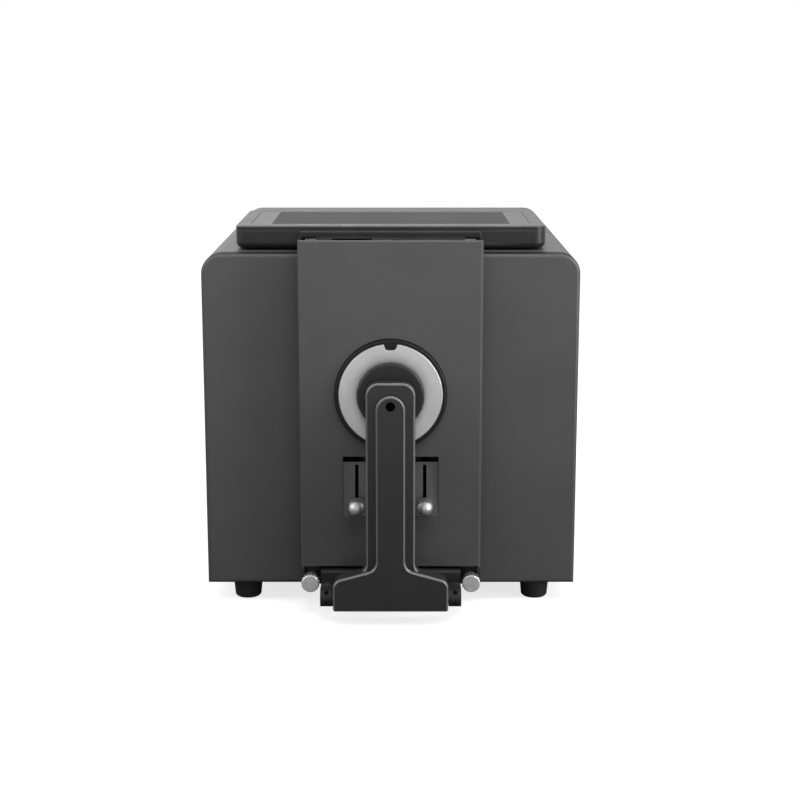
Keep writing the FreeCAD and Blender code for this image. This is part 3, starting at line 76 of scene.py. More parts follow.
def ramped(tree, value, stops):
    """Colours along a value: pairs of place and colour."""
    ramp = tree.nodes.new("ShaderNodeValToRGB")
    points = ramp.color_ramp.elements
    while len(points) < len(stops):
        points.new(0.5)
    for point, (at, colour) in zip(points, stops):
        point.position = at
        point.color = (*colour, 1.0)
    tree.links.new(value, ramp.inputs["Fac"])
    return ramp.outputs["Color"]


def mixed(tree, share, first, second):
    """First colour where share is nought and second where it is one."""
    mix = tree.nodes.new("ShaderNodeMix")
    mix.data_type = "RGBA"
    tree.links.new(share, mix.inputs["Factor"])
    for socket, colour in ((mix.inputs["A"], first), (mix.inputs["B"], second)):
        if isinstance(colour, tuple):
            socket.default_value = (*colour, 1.0)
        else:
            tree.links.new(colour, socket)
    return mix.outputs["Result"]


def computed(tree, operation, *values):
    """A calculation on plain numbers and other nodes' outputs."""
    node = tree.nodes.new("ShaderNodeMath")
    node.operation = operation
    for socket, value in zip(node.inputs, values):
        if isinstance(value, bpy.types.NodeSocket):
            tree.links.new(value, socket)
        else:
            socket.default_value = value
    return node.outputs["Value"]


# Finishes. Each one is mixed from patterns on Object coordinates, so it stays put on its piece.

GRAIN_ROUGHNESS = 0.55


class Finish:
    """A surface finish while it is mixed: its patterns and the shader that they drive."""

    def __init__(self, name, metallic=0.0, specular=0.5):
        self.material = bpy.data.materials.new(name)
        self.material.use_nodes = True
        self.tree = self.material.node_tree
        self.shader = self.tree.nodes["Principled BSDF"]
        self.shader.inputs["Metallic"].default_value = metallic
        self.shader.inputs["Specular IOR Level"].default_value = specular
        self.place = self.tree.nodes.new("ShaderNodeTexCoord").outputs["Object"]
        self.bumps = None

    def link(self, source, target):
        self.tree.links.new(source, target)

    def grain(self, size, detail=3.0, stretch=(1, 1, 1)):
        """Soft grain whose blobs are about size across, in metres."""
        place = self.tree.nodes.new("ShaderNodeMapping")
        place.inputs["Scale"].default_value = stretch
        noise = self.tree.nodes.new("ShaderNodeTexNoise")
        noise.inputs["Scale"].default_value = 1.0 / size
        noise.inputs["Detail"].default_value = detail
        noise.inputs["Roughness"].default_value = GRAIN_ROUGHNESS
        self.link(self.place, place.inputs["Vector"])
        self.link(place.outputs["Vector"], noise.inputs["Vector"])
        return noise.outputs["Fac"]

    def cells(self, size, feature="F1"):
        """Distance from the middle, or from the edge, of packed cells of that size, in metres."""
        cells = self.tree.nodes.new("ShaderNodeTexVoronoi")
        cells.feature = feature
        cells.inputs["Scale"].default_value = 1.0 / size
        self.link(self.place, cells.inputs["Vector"])
        return cells.outputs["Distance"]

    def window(self, middle, half):
        """One inside a level rectangle about a point, and nought outside it."""
        split = self.tree.nodes.new("ShaderNodeSeparateXYZ")
        self.link(self.place, split.inputs["Vector"])
        shares = [
            computed(self.tree, "COMPARE", split.outputs[axis], centre, reach)
            for axis, centre, reach in zip("XY", middle, half)
        ]
        return computed(self.tree, "MULTIPLY", *shares)

    def edges(self):
        """One on the softened edges of a piece and nought elsewhere: the mask of the painted edge
        highlight, which partly stands for wear.
        """
        edge = self.tree.nodes.new("ShaderNodeAttribute")
        edge.attribute_name = "edge"
        return edge.outputs["Fac"]

    def between(self, value, low, high, out_low, out_high):
        return ranged(self.tree, value, low, high, out_low, out_high)

    def shades(self, value, *stops):
        return ramped(self.tree, value, stops)

    def blend(self, share, first, second):
        return mixed(self.tree, share, first, second)

    def plus(self, first, second, weight):
        """The first pattern plus a share of the second."""
        return computed(self.tree, "MULTIPLY_ADD", second, weight, first)

    def colour(self, value):
        self.link(value, self.shader.inputs["Base Color"])

    def rough(self, value):
        self.link(value, self.shader.inputs["Roughness"])

    def relief(self, height, depth):
        """Raises the surface by a pattern; depth is in metres."""
        bump = self.tree.nodes.new("ShaderNodeBump")
        bump.inputs["Distance"].default_value = depth
        self.link(height, bump.inputs["Height"])
        if self.bumps is not None:
            self.link(self.bumps, bump.inputs["Normal"])
        self.bumps = bump.outputs["Normal"]
        self.link(self.bumps, self.shader.inputs["Normal"])


def textured_paint(name, level, rough, depth, edge_highlight_and_wear_level):
    """Baked paint with a fine orange-peel texture, faint cloudiness, and edges lightened as a painted
    highlight that partly stands for rubbed wear.
    """
    finish = Finish(name)
    cloud = finish.grain(0.045, detail=4.0)
    peel = finish.grain(0.0011, detail=2.0)
    speck = finish.grain(0.00035, detail=1.0)
    tint = finish.shades(cloud, (0.3, grey(level * 0.93)), (0.7, grey(level * 1.07)))
    fleck = finish.blend(finish.between(speck, 0.58, 0.8, 0, 0.35), tint, grey(level * 1.8))
    # Painted highlight along the edges, partly rubbed wear, broken up by the cloudiness.
    worn_and_highlit_edges = finish.between(finish.plus(finish.edges(), cloud, 0.6), 0.75, 1.5, 0, 1)
    finish.colour(finish.blend(worn_and_highlit_edges, fleck, grey(edge_highlight_and_wear_level)))
    finish.rough(finish.between(finish.plus(cloud, peel, 0.8), 0.6, 1.2, rough - 0.05, rough + 0.05))
    finish.relief(peel, depth)
    finish.relief(speck, depth * 0.35)
    return finish.material


def anodised(name, level, rough, edge_highlight_and_wear_level, metallic=0.0, specular=0.5, depth=0.000012):
    """Bead-blasted and dyed aluminium: very fine matt grain, and lighter on softened edges and
    chamfers, a painted highlight that partly stands for the cut metal's lighter tone.
    """
    finish = Finish(name, metallic=metallic, specular=specular)
    cloud = finish.grain(0.03, detail=3.0)
    blast = finish.grain(0.00045, detail=2.0)
    tint = finish.shades(cloud, (0.3, grey(level * 0.94)), (0.7, grey(level * 1.06)))
    # Painted highlight: edges and chamfers take the lighter edge colour.
    finish.colour(finish.blend(finish.edges(), tint, grey(edge_highlight_and_wear_level)))
    finish.rough(finish.between(finish.plus(cloud, blast, 0.6), 0.5, 1.1, rough - 0.04, rough + 0.05))
    finish.relief(blast, depth)
    return finish.material


def turned_metal(name, colour, rough, axis):
    """Turned or brushed metal whose fine rings or lines run round one axis."""
    finish = Finish(name, metallic=1.0)
    stretch = tuple(1.0 if i == axis else 0.04 for i in range(3))
    lines = finish.grain(0.00025, detail=2.0, stretch=stretch)
    smudge = finish.grain(0.006, detail=3.0)
    dark = tuple(c * 0.82 for c in colour)
    finish.colour(finish.shades(finish.plus(lines, smudge, 0.5), (0.45, dark), (0.95, colour)))
    finish.rough(finish.between(smudge, 0.3, 0.7, rough, rough + 0.1))
    finish.relief(lines, 0.000006)
    return finish.material


def moulded(name, level, rough, depth, edge_highlight_and_wear_level, specular=0.5):
    """Moulded plastic or rubber with a spark-eroded grain."""
    finish = Finish(name, specular=specular)
    cloud = finish.grain(0.02, detail=3.0)
    spark = finish.cells(0.0007)
    tint = finish.shades(cloud, (0.3, grey(level * 0.9)), (0.7, grey(level * 1.1)))
    # Painted highlight: softened edges take the lighter edge colour, partly standing for wear.
    finish.colour(finish.blend(finish.edges(), tint, grey(edge_highlight_and_wear_level)))
    finish.rough(finish.between(finish.plus(cloud, spark, 0.4), 0.4, 1.0, rough - 0.06, rough + 0.06))
    finish.relief(spark, depth)
    return finish.material


GLASS_LOW, GLASS_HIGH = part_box("display_glass")
GLASS_MIDDLE = (GLASS_LOW + GLASS_HIGH) / 2
SCREEN_HALF = (77 * MM, 42 * MM)
PRINT_LEVELS = (0.038, 0.046)
PRINT_ROUGH = 0.34
SCREEN_LEVEL = 0.006
SCREEN_ROUGH = 0.07


def glass_finish(name):
    """Bonded glass before its colour, with wiping marks, dust, and their mixture."""
    finish = Finish(name, specular=0.4)
    wipe = finish.grain(0.05, detail=4.0, stretch=(1, 3, 1))
    dust = finish.grain(0.0009, detail=1.0)
    return finish, wipe, dust, finish.plus(wipe, dust, 0.15)


def cover_glass(name, level, rough):
    """Dark bonded glass with an etched, low-glare face and faint wiping marks in its gloss."""
    finish, wipe, dust, marks = glass_finish(name)
    finish.colour(finish.shades(wipe, (0.2, grey(level * 0.8)), (0.8, grey(level * 1.2))))
    finish.rough(finish.between(marks, 0.3, 0.9, rough - 0.03, rough + 0.05))
    finish.relief(dust, 0.000002)
    return finish.material


def screen_glass(name):
    """The display's glass: grey print behind its border, and the dark screen inside that."""
    finish, wipe, dust, marks = glass_finish(name)
    screen = finish.window(GLASS_MIDDLE[:2], SCREEN_HALF)
    print_low, print_high = PRINT_LEVELS
    border = finish.shades(dust, (0.3, grey(print_low)), (0.7, grey(print_high)))
    finish.colour(finish.blend(screen, border, grey(SCREEN_LEVEL)))
    wiped = finish.between(marks, 0.3, 0.9, 0.0, 0.06)
    gloss = finish.between(screen, 0, 1, PRINT_ROUGH, SCREEN_ROUGH)
    finish.rough(finish.plus(wiped, gloss, 1.0))
    return finish.material


def laminate(name):
    """Green circuit board: copper tracks seen as a lighter web under the lacquer."""
    finish = Finish(name)
    web = finish.cells(0.006, feature="DISTANCE_TO_EDGE")
    weave = finish.grain(0.0012, detail=1.0)
    tracks = finish.between(web, 0.02, 0.05, 1, 0)
    base = finish.shades(weave, (0.3, (0.004, 0.055, 0.022)), (0.7, (0.006, 0.075, 0.03)))
    finish.colour(finish.blend(tracks, base, (0.02, 0.13, 0.05)))
    finish.rough(finish.between(weave, 0.3, 0.7, 0.3, 0.42))
    finish.relief(tracks, 0.00004)
    return finish.material


def matt_white(name):
    """The chalky diffusing lining and castings of the measuring sphere."""
    finish = Finish(name, specular=0.2)
    chalk = finish.grain(0.0016, detail=4.0)
    cloud = finish.grain(0.04)
    finish.colour(finish.shades(cloud, (0.3, grey(0.62, 0.01)), (0.7, grey(0.72, 0.01))))
    finish.rough(finish.between(chalk, 0.3, 0.7, 0.75, 0.95))
    finish.relief(chalk, 0.00005)
    return finish.material


# The last level given to several finishes is the colour of their edges: a painted highlight that
# partly stands for wear.
FINISHES = {
    "casing_paint": textured_paint("Casing paint", 0.037, 0.41, 0.00002, 0.037),
    "nose_anodised": anodised("Nose anodised", 0.040, 0.18, 0.055, depth=0.000003),
    # Painted shade: the nose's top face made nearly black, with little gloss, for the dark display
    # reflected in it.
    "nose_top_painted_shade": anodised("Nose top painted shade", 0.006, 0.12, 0.03, specular=0.07, depth=0.000002),
    "arm_anodised": anodised("Arm anodised", 0.012, 0.32, 0.17),
    "carrier_black": anodised("Carrier black", 0.010, 0.42, 0.016, specular=0.35),
    "display_plastic": moulded("Display plastic", 0.011, 0.40, 0.00002, 0.035, specular=0.3),
    "display_frame": moulded("Display frame", 0.034, 0.235, 0.000008, 0.06),
    "display_glass": screen_glass("Cover glass"),
    "screen_panel": cover_glass("Screen panel", 0.006, 0.15),
    "port_black": anodised("Port black", 0.003, 0.55, 0.008, specular=0.3),
    # Painted shade: near-black without gloss, put in holes, pockets and behind slots where shade
    # falls.
    "painted_shade_black": anodised("Painted shade black", 0.0012, 0.9, 0.0015, specular=0.05),
    "ring_satin": anodised("Ring satin", 0.56, 0.36, 0.58, metallic=0.75),
    "lever_polished": turned_metal("Lever polished", (0.70, 0.70, 0.71), 0.38, 1),
    "thumb_steel": turned_metal("Thumb steel", (0.95, 0.95, 0.95), 0.36, 1),
    "screw_steel": turned_metal("Screw steel", (0.30, 0.30, 0.31), 0.25, 1),
    "hinge_steel": turned_metal("Hinge steel", (0.42, 0.42, 0.43), 0.22, 0),
    "foot_rubber": moulded("Foot rubber", 0.008, 0.62, 0.00004, 0.015),
    "pad_rubber": moulded("Pad rubber", 0.005, 0.6, 0.00003, 0.010, specular=0.2),
    "sphere_shell": matt_white("Sphere lining"),
    "cast_inner": anodised("Inner castings", 0.32, 0.45, 0.5, metallic=0.6),
    "lamp_housing": anodised("Lamp housing", 0.02, 0.5, 0.06),
    "circuit_board": laminate("Board laminate"),
    "stand_brass": turned_metal("Stand brass", (0.55, 0.40, 0.16), 0.3, 2),
    "socket_black": moulded("Socket black", 0.012, 0.38, 0.00001, 0.04),
    "socket_steel": turned_metal("Socket steel", (0.48, 0.48, 0.47), 0.3, 1),
}


# Pieces. A dressed piece has its solid's place and size, with softened edges and clean shading.


MERGE = 3e-6
FLAT_WITHIN = math.radians(0.6)
BEVEL_OVER = math.radians(28)
SMOOTH_UNDER = math.radians(38)
FLAT_LEAD = 100
# How strongly the sloping chamfer faces take the painted edge highlight.
CHAMFER_HIGHLIGHT = 0.4


def finished(shape, name, finish, slot, body, *nodes):
    """Puts a made surface in the scene with its finish, on its body."""
    mesh = bpy.data.meshes.new(name)
    shape.to_mesh(mesh)
    shape.free()
    mesh.materials.append(FINISHES[finish])
    piece = bpy.data.objects.new(name, mesh)
    bpy.context.scene.collection.objects.link(piece)
    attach(piece, body)
    if nodes:
        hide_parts(*nodes)
    return piece


def welded(node):
    """A solid's own surface with its doubles merged."""
    shape = bmesh.new()
    shape.from_mesh(NODES[node].data)
    bmesh.ops.remove_doubles(shape, verts=shape.verts, dist=MERGE)
    return shape


def soften(shape, width, segments=2):
    """Bevels the outer edges and marks the new faces, so that a finish can paint them lighter: a
    painted highlight that partly stands for edge wear.
    """
    sharp = [
        e for e in shape.edges if e.is_manifold and e.is_convex and e.calc_face_angle(0) > BEVEL_OVER
    ]
    made = bmesh.ops.bevel(
        shape,
        geom=sharp,
        offset=width,
        offset_type="OFFSET",
        segments=segments,
        profile=0.5,
        affect="EDGES",
        clamp_overlap=True,
    )
    edge = shape.loops.layers.float.new("edge")
    for face in made["faces"]:
        for loop in face.loops:
            loop[edge] = 1.0


def smooth_faces(piece):
    """Smooth shading that stays flat on flat faces and crisp at sharp edges."""
    mesh = piece.data
    mesh.shade_smooth()
    mesh.set_sharp_from_angle(angle=SMOOTH_UNDER)
    modifier = piece.modifiers.new("Flat faces lead", "WEIGHTED_NORMAL")
    modifier.keep_sharp = True
    modifier.weight = FLAT_LEAD
    seen = piece.evaluated_get(bpy.context.evaluated_depsgraph_get())
    mesh = bpy.data.meshes.new_from_object(seen)
    piece.modifiers.remove(modifier)
    piece.data = mesh


def islands(node):
    """Low and high corners of each separate solid of a node."""
    shape = welded(node)
    waiting = set(shape.verts)
    found = []
    while waiting:
        front = [waiting.pop()]
        members = []
        while front:
            vertex = front.pop()
            members.append(vertex.co.copy())
            for edge in vertex.link_edges:
                other = edge.other_vert(vertex)
                if other in waiting:
                    waiting.remove(other)
                    front.append(other)
        low = Vector(min(v[i] for v in members) for i in range(3))
        high = Vector(max(v[i] for v in members) for i in range(3))
        found.append((low, high))
    shape.free()
    return sorted(found, key=lambda corners: tuple(corners[0]))


def dressed(node, width, finish, chamfer):
    """A solid's stand-in with softened edges and flat faces made whole; width is in millimetres.

    chamfer says which faces of the solid are machined edges, by their normal; they get the painted
    edge highlight too."""
    shape = welded(node)
    bmesh.ops.dissolve_limit(
        shape, angle_limit=FLAT_WITHIN, verts=shape.verts, edges=shape.edges
    )
    soften(shape, width * MM)
    # Painted highlight: the chamfer faces are marked for the lighter edge colour.
    if chamfer:
        edge = shape.loops.layers.float["edge"]
        for face in shape.faces:
            if chamfer(face.normal):
                for loop in face.loops:
                    loop[edge] = max(loop[edge], CHAMFER_HIGHLIGHT)
    piece = finished(shape, node + "_finished", finish, SLOT_OF[node], BODY_OF[node], node)
    smooth_faces(piece)
    return piece


def second_finish(node, finish, chosen):
    """Gives the chosen faces of a dressed piece another finish."""
    mesh = pieces[node].data
    mesh.materials.append(FINISHES[finish])
    for face in mesh.polygons:
        if chosen(face.center, face.normal):
            face.material_index = len(mesh.materials) - 1


def oblique(normal):
    """True for the sloping faces along a front edge."""
    return 0.35 < -normal.y < 0.9


# How wide each piece's edges are softened, in millimetres.
SOFTENED = {
    "front_plate": 0.15,
    "wrap_cover": 0.4,
    "base_tray": 0.4,
    "rear_panel": 0.25,
    "feet": 0.5,
    "nose_shell": 0.35,
    "lever_plate": 0.3,
    "port_bezel": 0.2,
    "aperture_ring": 0.12,
    "arm_carrier": 0.4,
    "clamp_arm": 0.3,
    "clamp_pad": 0.25,
    "pad_plate": 0.25,
    "display_housing": 0.35,
    "display_bezel": 0.25,
    "display_glass": 0.15,
    "thumb_screw_right": 0.15,
    "thumb_screw_left": 0.15,
    "power_switch_frame": 0.3,
    "power_rocker": 0.3,
    "dc_inlet": 0.2,
    "usb_socket": 0.15,
    "serial_port": 0.2,
    "display_rests": 0.4,
    "main_board": 0.1,
    "power_board": 0.1,
}
OWN_FINISH = {
    "arm_carrier": "carrier_black",
    "display_bezel": "display_frame",
    "pad_plate": "carrier_black",
}
# Pieces whose sloping chamfer faces also get the painted edge highlight.
CHAMFERED = {"clamp_arm", "nose_shell"}
pieces = {}
for node_name, edge_width in SOFTENED.items():
    chamfer = oblique if node_name in CHAMFERED else None
    finish_name = OWN_FINISH.get(node_name, SLOT_OF[node_name])
    pieces[node_name] = dressed(node_name, edge_width, finish_name, chamfer)


# Faces of a piece that look different from the rest of it; several of them are painted shade and one
# is a painted highlight.

ARM_HOLE_Z = 142.2 * MM
ARM_HOLE_R = 3.3 * MM
NOSE_LOW, NOSE_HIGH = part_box("nose_shell")
NOSE_SKIN = 0.7 * MM
NOSE_INSIDE_Z = 225 * MM
NOSE_TOP_SKIN = 0.02 * MM
LEDGE_DROP = 1.4 * MM
LEDGE_WITHIN = 0.1 * MM
POCKET_FROM = 40 * MM
PLATE_FACE_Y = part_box("front_plate")[0].y + 0.4 * MM
RAIL_FRONT = -124.4 * MM
BOARD_THICK = 1.6 * MM
CHIP_CLEAR = 0.05 * MM
FACING_UP = 0.5
FRAME_TOP_NORMAL = 0.4


def in_arm_hole(place, normal):
    return math.hypot(place.x, place.z - ARM_HOLE_Z) < ARM_HOLE_R


def on_nose_top(place, normal):
    return place.z > NOSE_HIGH.z - NOSE_TOP_SKIN


def in_nose_top(place, normal):
    below_top = NOSE_INSIDE_Z < place.z < NOSE_HIGH.z - NOSE_SKIN
    behind_front = place.y > NOSE_LOW.y + NOSE_SKIN
    return below_top and behind_front and abs(place.x) < NOSE_HIGH.x - NOSE_SKIN


# The up-facing ledges in the nose pockets, which get a painted highlight.
def on_pocket_ledge(place, normal):
    at_ledge = abs(place.z - NOSE_HIGH.z + LEDGE_DROP) < LEDGE_WITHIN
    return at_ledge and normal.z > FACING_UP and abs(place.x) > POCKET_FROM


# The front plate's faces behind its front face, which get painted shade.
def on_plate_rim(place, normal):
    return place.y > PLATE_FACE_Y and normal.y > -FACING_UP


def on_frame_side(place, normal):
    return normal.z < FRAME_TOP_NORMAL


def before_hinge_rail(place, normal):
    return place.y < RAIL_FRONT


# Painted shade: the arm's screw hole and the pad plate seen through it painted near-black.
second_finish("clamp_arm", "painted_shade_black", in_arm_hole)
second_finish("pad_plate", "painted_shade_black", in_arm_hole)
# Painted shade: the nose's top face darkened for the dark display reflected in it.
second_finish("nose_shell", "nose_top_painted_shade", on_nose_top)
# Painted shade: the inside of the nose, seen through its pockets and openings, painted near-black.
second_finish("nose_shell", "painted_shade_black", in_nose_top)
# Painted highlight: the top of the pocket ledges on the anodised nose painted as light steel.
second_finish("nose_shell", "hinge_steel", on_pocket_ledge)
# Painted shade: the front plate's rim and the faces behind its front are painted black, for the shadow
# under the display.
second_finish("front_plate", "port_black", on_plate_rim)
second_finish("display_bezel", "display_plastic", on_frame_side)
# Painted shade: the display housing's hinge part in front of the rail painted near-black, for the dark
# hinge pockets.
second_finish("display_housing", "painted_shade_black", before_hinge_rail)
for board_name in ("main_board", "power_board"):
    chip_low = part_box(board_name)[0].z + BOARD_THICK + CHIP_CLEAR
    second_finish(board_name, "socket_black", lambda place, normal: place.z > chip_low)


# Turned pieces that need a finer outline than their solids.

TURNED_SIDES = 48
ROUND_STEPS = 4


def ring_of(shape, outline, height, turn):
    """A ring of vertices; outline is a radius or a function of the angle."""
    verts = []
    for step in range(TURNED_SIDES):
        angle = 2 * math.pi * step / TURNED_SIDES
        radius = outline(angle) if callable(outline) else outline
        across, along = radius * math.cos(angle), radius * math.sin(angle)
        verts.append(shape.verts.new(turn(across, along, height)))
    return verts


def turned_shape(profile, turn):
    """A closed turned shape from (outline, height) pairs; an outline of nought is a pole."""
    shape = bmesh.new()
    rings = []
    for outline, height in profile:
        pole = outline == 0
        rings.append(
            [shape.verts.new(turn(0, 0, height))] if pole else ring_of(shape, outline, height, turn)
        )
    for first, second in zip(rings, rings[1:]):
        for step in range(TURNED_SIDES):
            after = (step + 1) % TURNED_SIDES
            corners = [
                first[step % len(first)],
                second[step % len(second)],
                second[after % len(second)],
                first[after % len(first)],
            ]
            shape.faces.new(list(dict.fromkeys(corners)))
    bmesh.ops.recalc_face_normals(shape, faces=shape.faces)
    return shape


KNOB_LENGTH = 13.0 * MM
KNOB_TAPER = 1.8 * MM
STEM_R = 0.8 * MM
BALL_STEPS = 12


def lever_knob(node):
    """The lever's ball-ended knob on its thin stem."""
    low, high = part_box(node)
    x, z = (low.x + high.x) / 2, (low.z + high.z) / 2
    radius = (high.x - low.x) / 2
    middle = low.y + radius
    back = low.y + KNOB_LENGTH
    profile = [(0, low.y)]
    for step in range(1, BALL_STEPS + 1):
        angle = math.radians(90 * step / BALL_STEPS)
        profile.append((radius * math.sin(angle), middle - radius * math.cos(angle)))
    for step in range(ROUND_STEPS + 1):
        angle = math.radians(90 * step / ROUND_STEPS)
        round_off = KNOB_TAPER * (1 - math.cos(angle))
        profile.append((radius - round_off, back - KNOB_TAPER * (1 - math.sin(angle))))
    profile += [(STEM_R, back), (STEM_R, high.y), (0, high.y)]
    shape = turned_shape(profile, lambda a, b, h: (x + a, h, z + b))
    slot = SLOT_OF[node]
    smooth_faces(finished(shape, node + "_finished", slot, slot, BODY_OF[node], node))


lever_knob("lever_knob_right")
lever_knob("lever_knob_left")


# Patterns: what repeats is set out by a node tree and then kept as a plain mesh.

PATTERN_MERGE = 1e-7


class Pattern:
    """A node tree for what repeats, while it is built, with its named sizes."""

    def __init__(self, name):
        self.tree = bpy.data.node_groups.new(name, "GeometryNodeTree")
        face = self.tree.interface
        face.new_socket("Geometry", in_out="OUTPUT", socket_type="NodeSocketGeometry")
        face.new_socket("Geometry", in_out="INPUT", socket_type="NodeSocketGeometry")
        self.inlet = self.tree.nodes.new("NodeGroupInput")
        self.outlet = self.tree.nodes.new("NodeGroupOutput")
        self.sizes = []

    def size(self, label, kind, value):
        """A named input of the pattern, with the value that it gets here."""
        socket = self.tree.interface.new_socket(label, in_out="INPUT", socket_type=kind)
        self.sizes.append((socket.identifier, value))
        return self.inlet.outputs[label]

    def node(self, kind, **values):
        """A node with its inputs set by name, each to a plain value or to another's output."""
        made = self.tree.nodes.new(kind)
        for label, value in values.items():
            socket = made.inputs[label.replace("_", " ")]
            if isinstance(value, bpy.types.NodeSocket):
                self.tree.links.new(value, socket)
            else:
                socket.default_value = value
        return made

    def kept(self, geometry, seed, name, slot, body, *nodes):
        """Works the pattern out and keeps it as a plain, finished mesh on its body."""
        real = self.node("GeometryNodeRealizeInstances", Geometry=geometry)
        painted = self.node(
            "GeometryNodeSetMaterial", Geometry=real.outputs["Geometry"], Material=FINISHES[slot]
        )
        self.tree.links.new(painted.outputs["Geometry"], self.outlet.inputs["Geometry"])
        piece = bpy.data.objects.new(name, seed)
        bpy.context.scene.collection.objects.link(piece)
        modifier = piece.modifiers.new(name, "NODES")
        modifier.node_group = self.tree
        for identifier, value in self.sizes:
            modifier[identifier] = value
        seen = piece.evaluated_get(bpy.context.evaluated_depsgraph_get())
        mesh = bpy.data.meshes.new_from_object(seen)
        piece.modifiers.remove(modifier)
        shape = bmesh.new()
        shape.from_mesh(mesh)
        bmesh.ops.remove_doubles(shape, verts=shape.verts, dist=PATTERN_MERGE)
        bmesh.ops.recalc_face_normals(shape, faces=shape.faces)
        shape.to_mesh(mesh)
        shape.free()
        piece.data = mesh
        smooth_faces(piece)
        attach(piece, body)
        if nodes:
            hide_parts(*nodes)
        return piece


def set_out(item, places, name, slot, body, *nodes):
    """Copies of one shape at places, each a point and the angles that turn the copy."""
    seed = bpy.data.meshes.new(name + " places")
    seed.from_pydata([place for place, _ in places], [], [])
    turns = seed.attributes.new("turn", "FLOAT_VECTOR", "POINT")
    for value, (_, turn) in zip(turns.data, places):
        value.vector = turn
    master_mesh = bpy.data.meshes.new(name + " master")
    item.to_mesh(master_mesh)
    item.free()
    master = bpy.data.objects.new(name + " master", master_mesh)
    bpy.context.scene.collection.objects.link(master)
    pattern = Pattern(name)
    source = pattern.node(
        "GeometryNodeObjectInfo", Object=pattern.size("Item", "NodeSocketObject", master)
    )
    turn = pattern.tree.nodes.new("GeometryNodeInputNamedAttribute")
    turn.data_type = "FLOAT_VECTOR"
    turn.inputs["Name"].default_value = "turn"
    copies = pattern.node(
        "GeometryNodeInstanceOnPoints",
        Points=pattern.inlet.outputs["Geometry"],
        Instance=source.outputs["Geometry"],
        Rotation=turn.outputs["Attribute"],
    )
    pattern.kept(copies.outputs["Instances"], seed, name, slot, body, *nodes)
    bpy.data.objects.remove(master)


def hexagonal(radius):
    """Outline of a hexagon with that radius to its flats."""
    return lambda angle: radius / math.cos((angle + math.pi / 6) % (math.pi / 3) - math.pi / 6)


NO_LESS = 1e-6
HEAD_ROUNDING = 0.35


def crossed(reach, half_width):
    """Outline of a cross recess."""

    def outline(angle):
        across = max(abs(math.cos(angle)), NO_LESS)
        along = max(abs(math.sin(angle)), NO_LESS)
        first = min(reach / across, half_width / along)
        second = min(half_width / across, reach / along)
        return max(first, second)

    return outline


def screw_head(radius, height, recess, depth, crown):
    """A screw head along its own Z, with a driver recess; crown is how far it is rounded."""
    profile = [(0, 0), (radius, 0), (radius, height - crown)]
    for step in range(1, ROUND_STEPS + 1):
        angle = math.radians(90 * step / ROUND_STEPS)
        inward = radius * HEAD_ROUNDING * (1 - math.cos(angle))
        profile.append((radius - inward, height - crown + crown * math.sin(angle)))
    profile += [(recess, height), (recess, height - depth), (0, height - depth)]
    return turned_shape(profile, lambda a, b, h: (a, b, h))


FACES_BACK = -math.pi / 2
FACES_FRONT = math.pi / 2
FACES_DOWN = math.pi


def middle_of(low, high):
    return (low + high) / 2


PAN_R = 2.8 * MM
PAN_HEIGHT = 1.8 * MM
PAN_CROWN = 0.9 * MM
CROSS_REACH = 1.5 * MM
CROSS_HALF = 0.32 * MM
CROSS_DEPTH = 1.0 * MM
PAN_TURN = 0.7


def rear_screws():
    """Pan heads with a cross recess, each left at its own angle."""
    places = []
    for count, (low, high) in enumerate(islands("rear_panel_screws")):
        middle = middle_of(low, high)
        places.append(
            ((middle.x, high.y - PAN_HEIGHT, middle.z), (FACES_BACK, PAN_TURN * count, 0))
        )
    recess = crossed(CROSS_REACH, CROSS_HALF)
    head = screw_head(PAN_R, PAN_HEIGHT, recess, CROSS_DEPTH, PAN_CROWN)
    set_out(head, places, "rear_screw_heads", "screw_steel", "casing", "rear_panel_screws")


SOCKET_HEAD_R = 3.5 * MM
SOCKET_HEAD_HEIGHT = 2.6 * MM
SOCKET_HEAD_CROWN = 0.3 * MM
SOCKET_FLAT_R = 1.5 * MM
SOCKET_DEPTH = 1.5 * MM


def foot_screw_heads():
    """Socket heads up inside the feet."""
    places = []
    for low, high in islands("foot_screws"):
        middle = middle_of(low, high)
        places.append(((middle.x, middle.y, low.z + SOCKET_HEAD_HEIGHT), (FACES_DOWN, 0, 0)))
    recess = hexagonal(SOCKET_FLAT_R)
    head = screw_head(SOCKET_HEAD_R, SOCKET_HEAD_HEIGHT, recess, SOCKET_DEPTH, SOCKET_HEAD_CROWN)
    set_out(head, places, "foot_screw_heads", "screw_steel", "casing", "foot_screws")


EAR_SCREW_X = 40.7 * MM
EAR_SCREW_RISE_AND_DEPTH = ((4.3, 3.2), (-2.6, 4.4))
SET_SCREW_R = 1.35 * MM
SET_SCREW_LENGTH = 1.2 * MM
SET_SCREW_EDGE = 0.15 * MM
SET_SCREW_FLAT_R = 0.65 * MM
SET_SCREW_SOCKET = 0.8 * MM


def ear_set_screws():
    """The four small screws that lock the hinge pin, sunk in the front of the ears."""
    hinge = middle_of(*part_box("arm_hinge_pin"))
    places = []
    for side in (-1, 1):
        for rise, sunk in EAR_SCREW_RISE_AND_DEPTH:
            back_y = hinge.y - sunk * MM + SET_SCREW_LENGTH
            place = (side * EAR_SCREW_X, back_y, hinge.z + rise * MM)
            places.append((place, (FACES_FRONT, 0.5 * rise, 0)))
    recess = hexagonal(SET_SCREW_FLAT_R)
    head = screw_head(SET_SCREW_R, SET_SCREW_LENGTH, recess, SET_SCREW_SOCKET, SET_SCREW_EDGE)
    set_out(head, places, "ear_set_screws", "port_black", "casing")


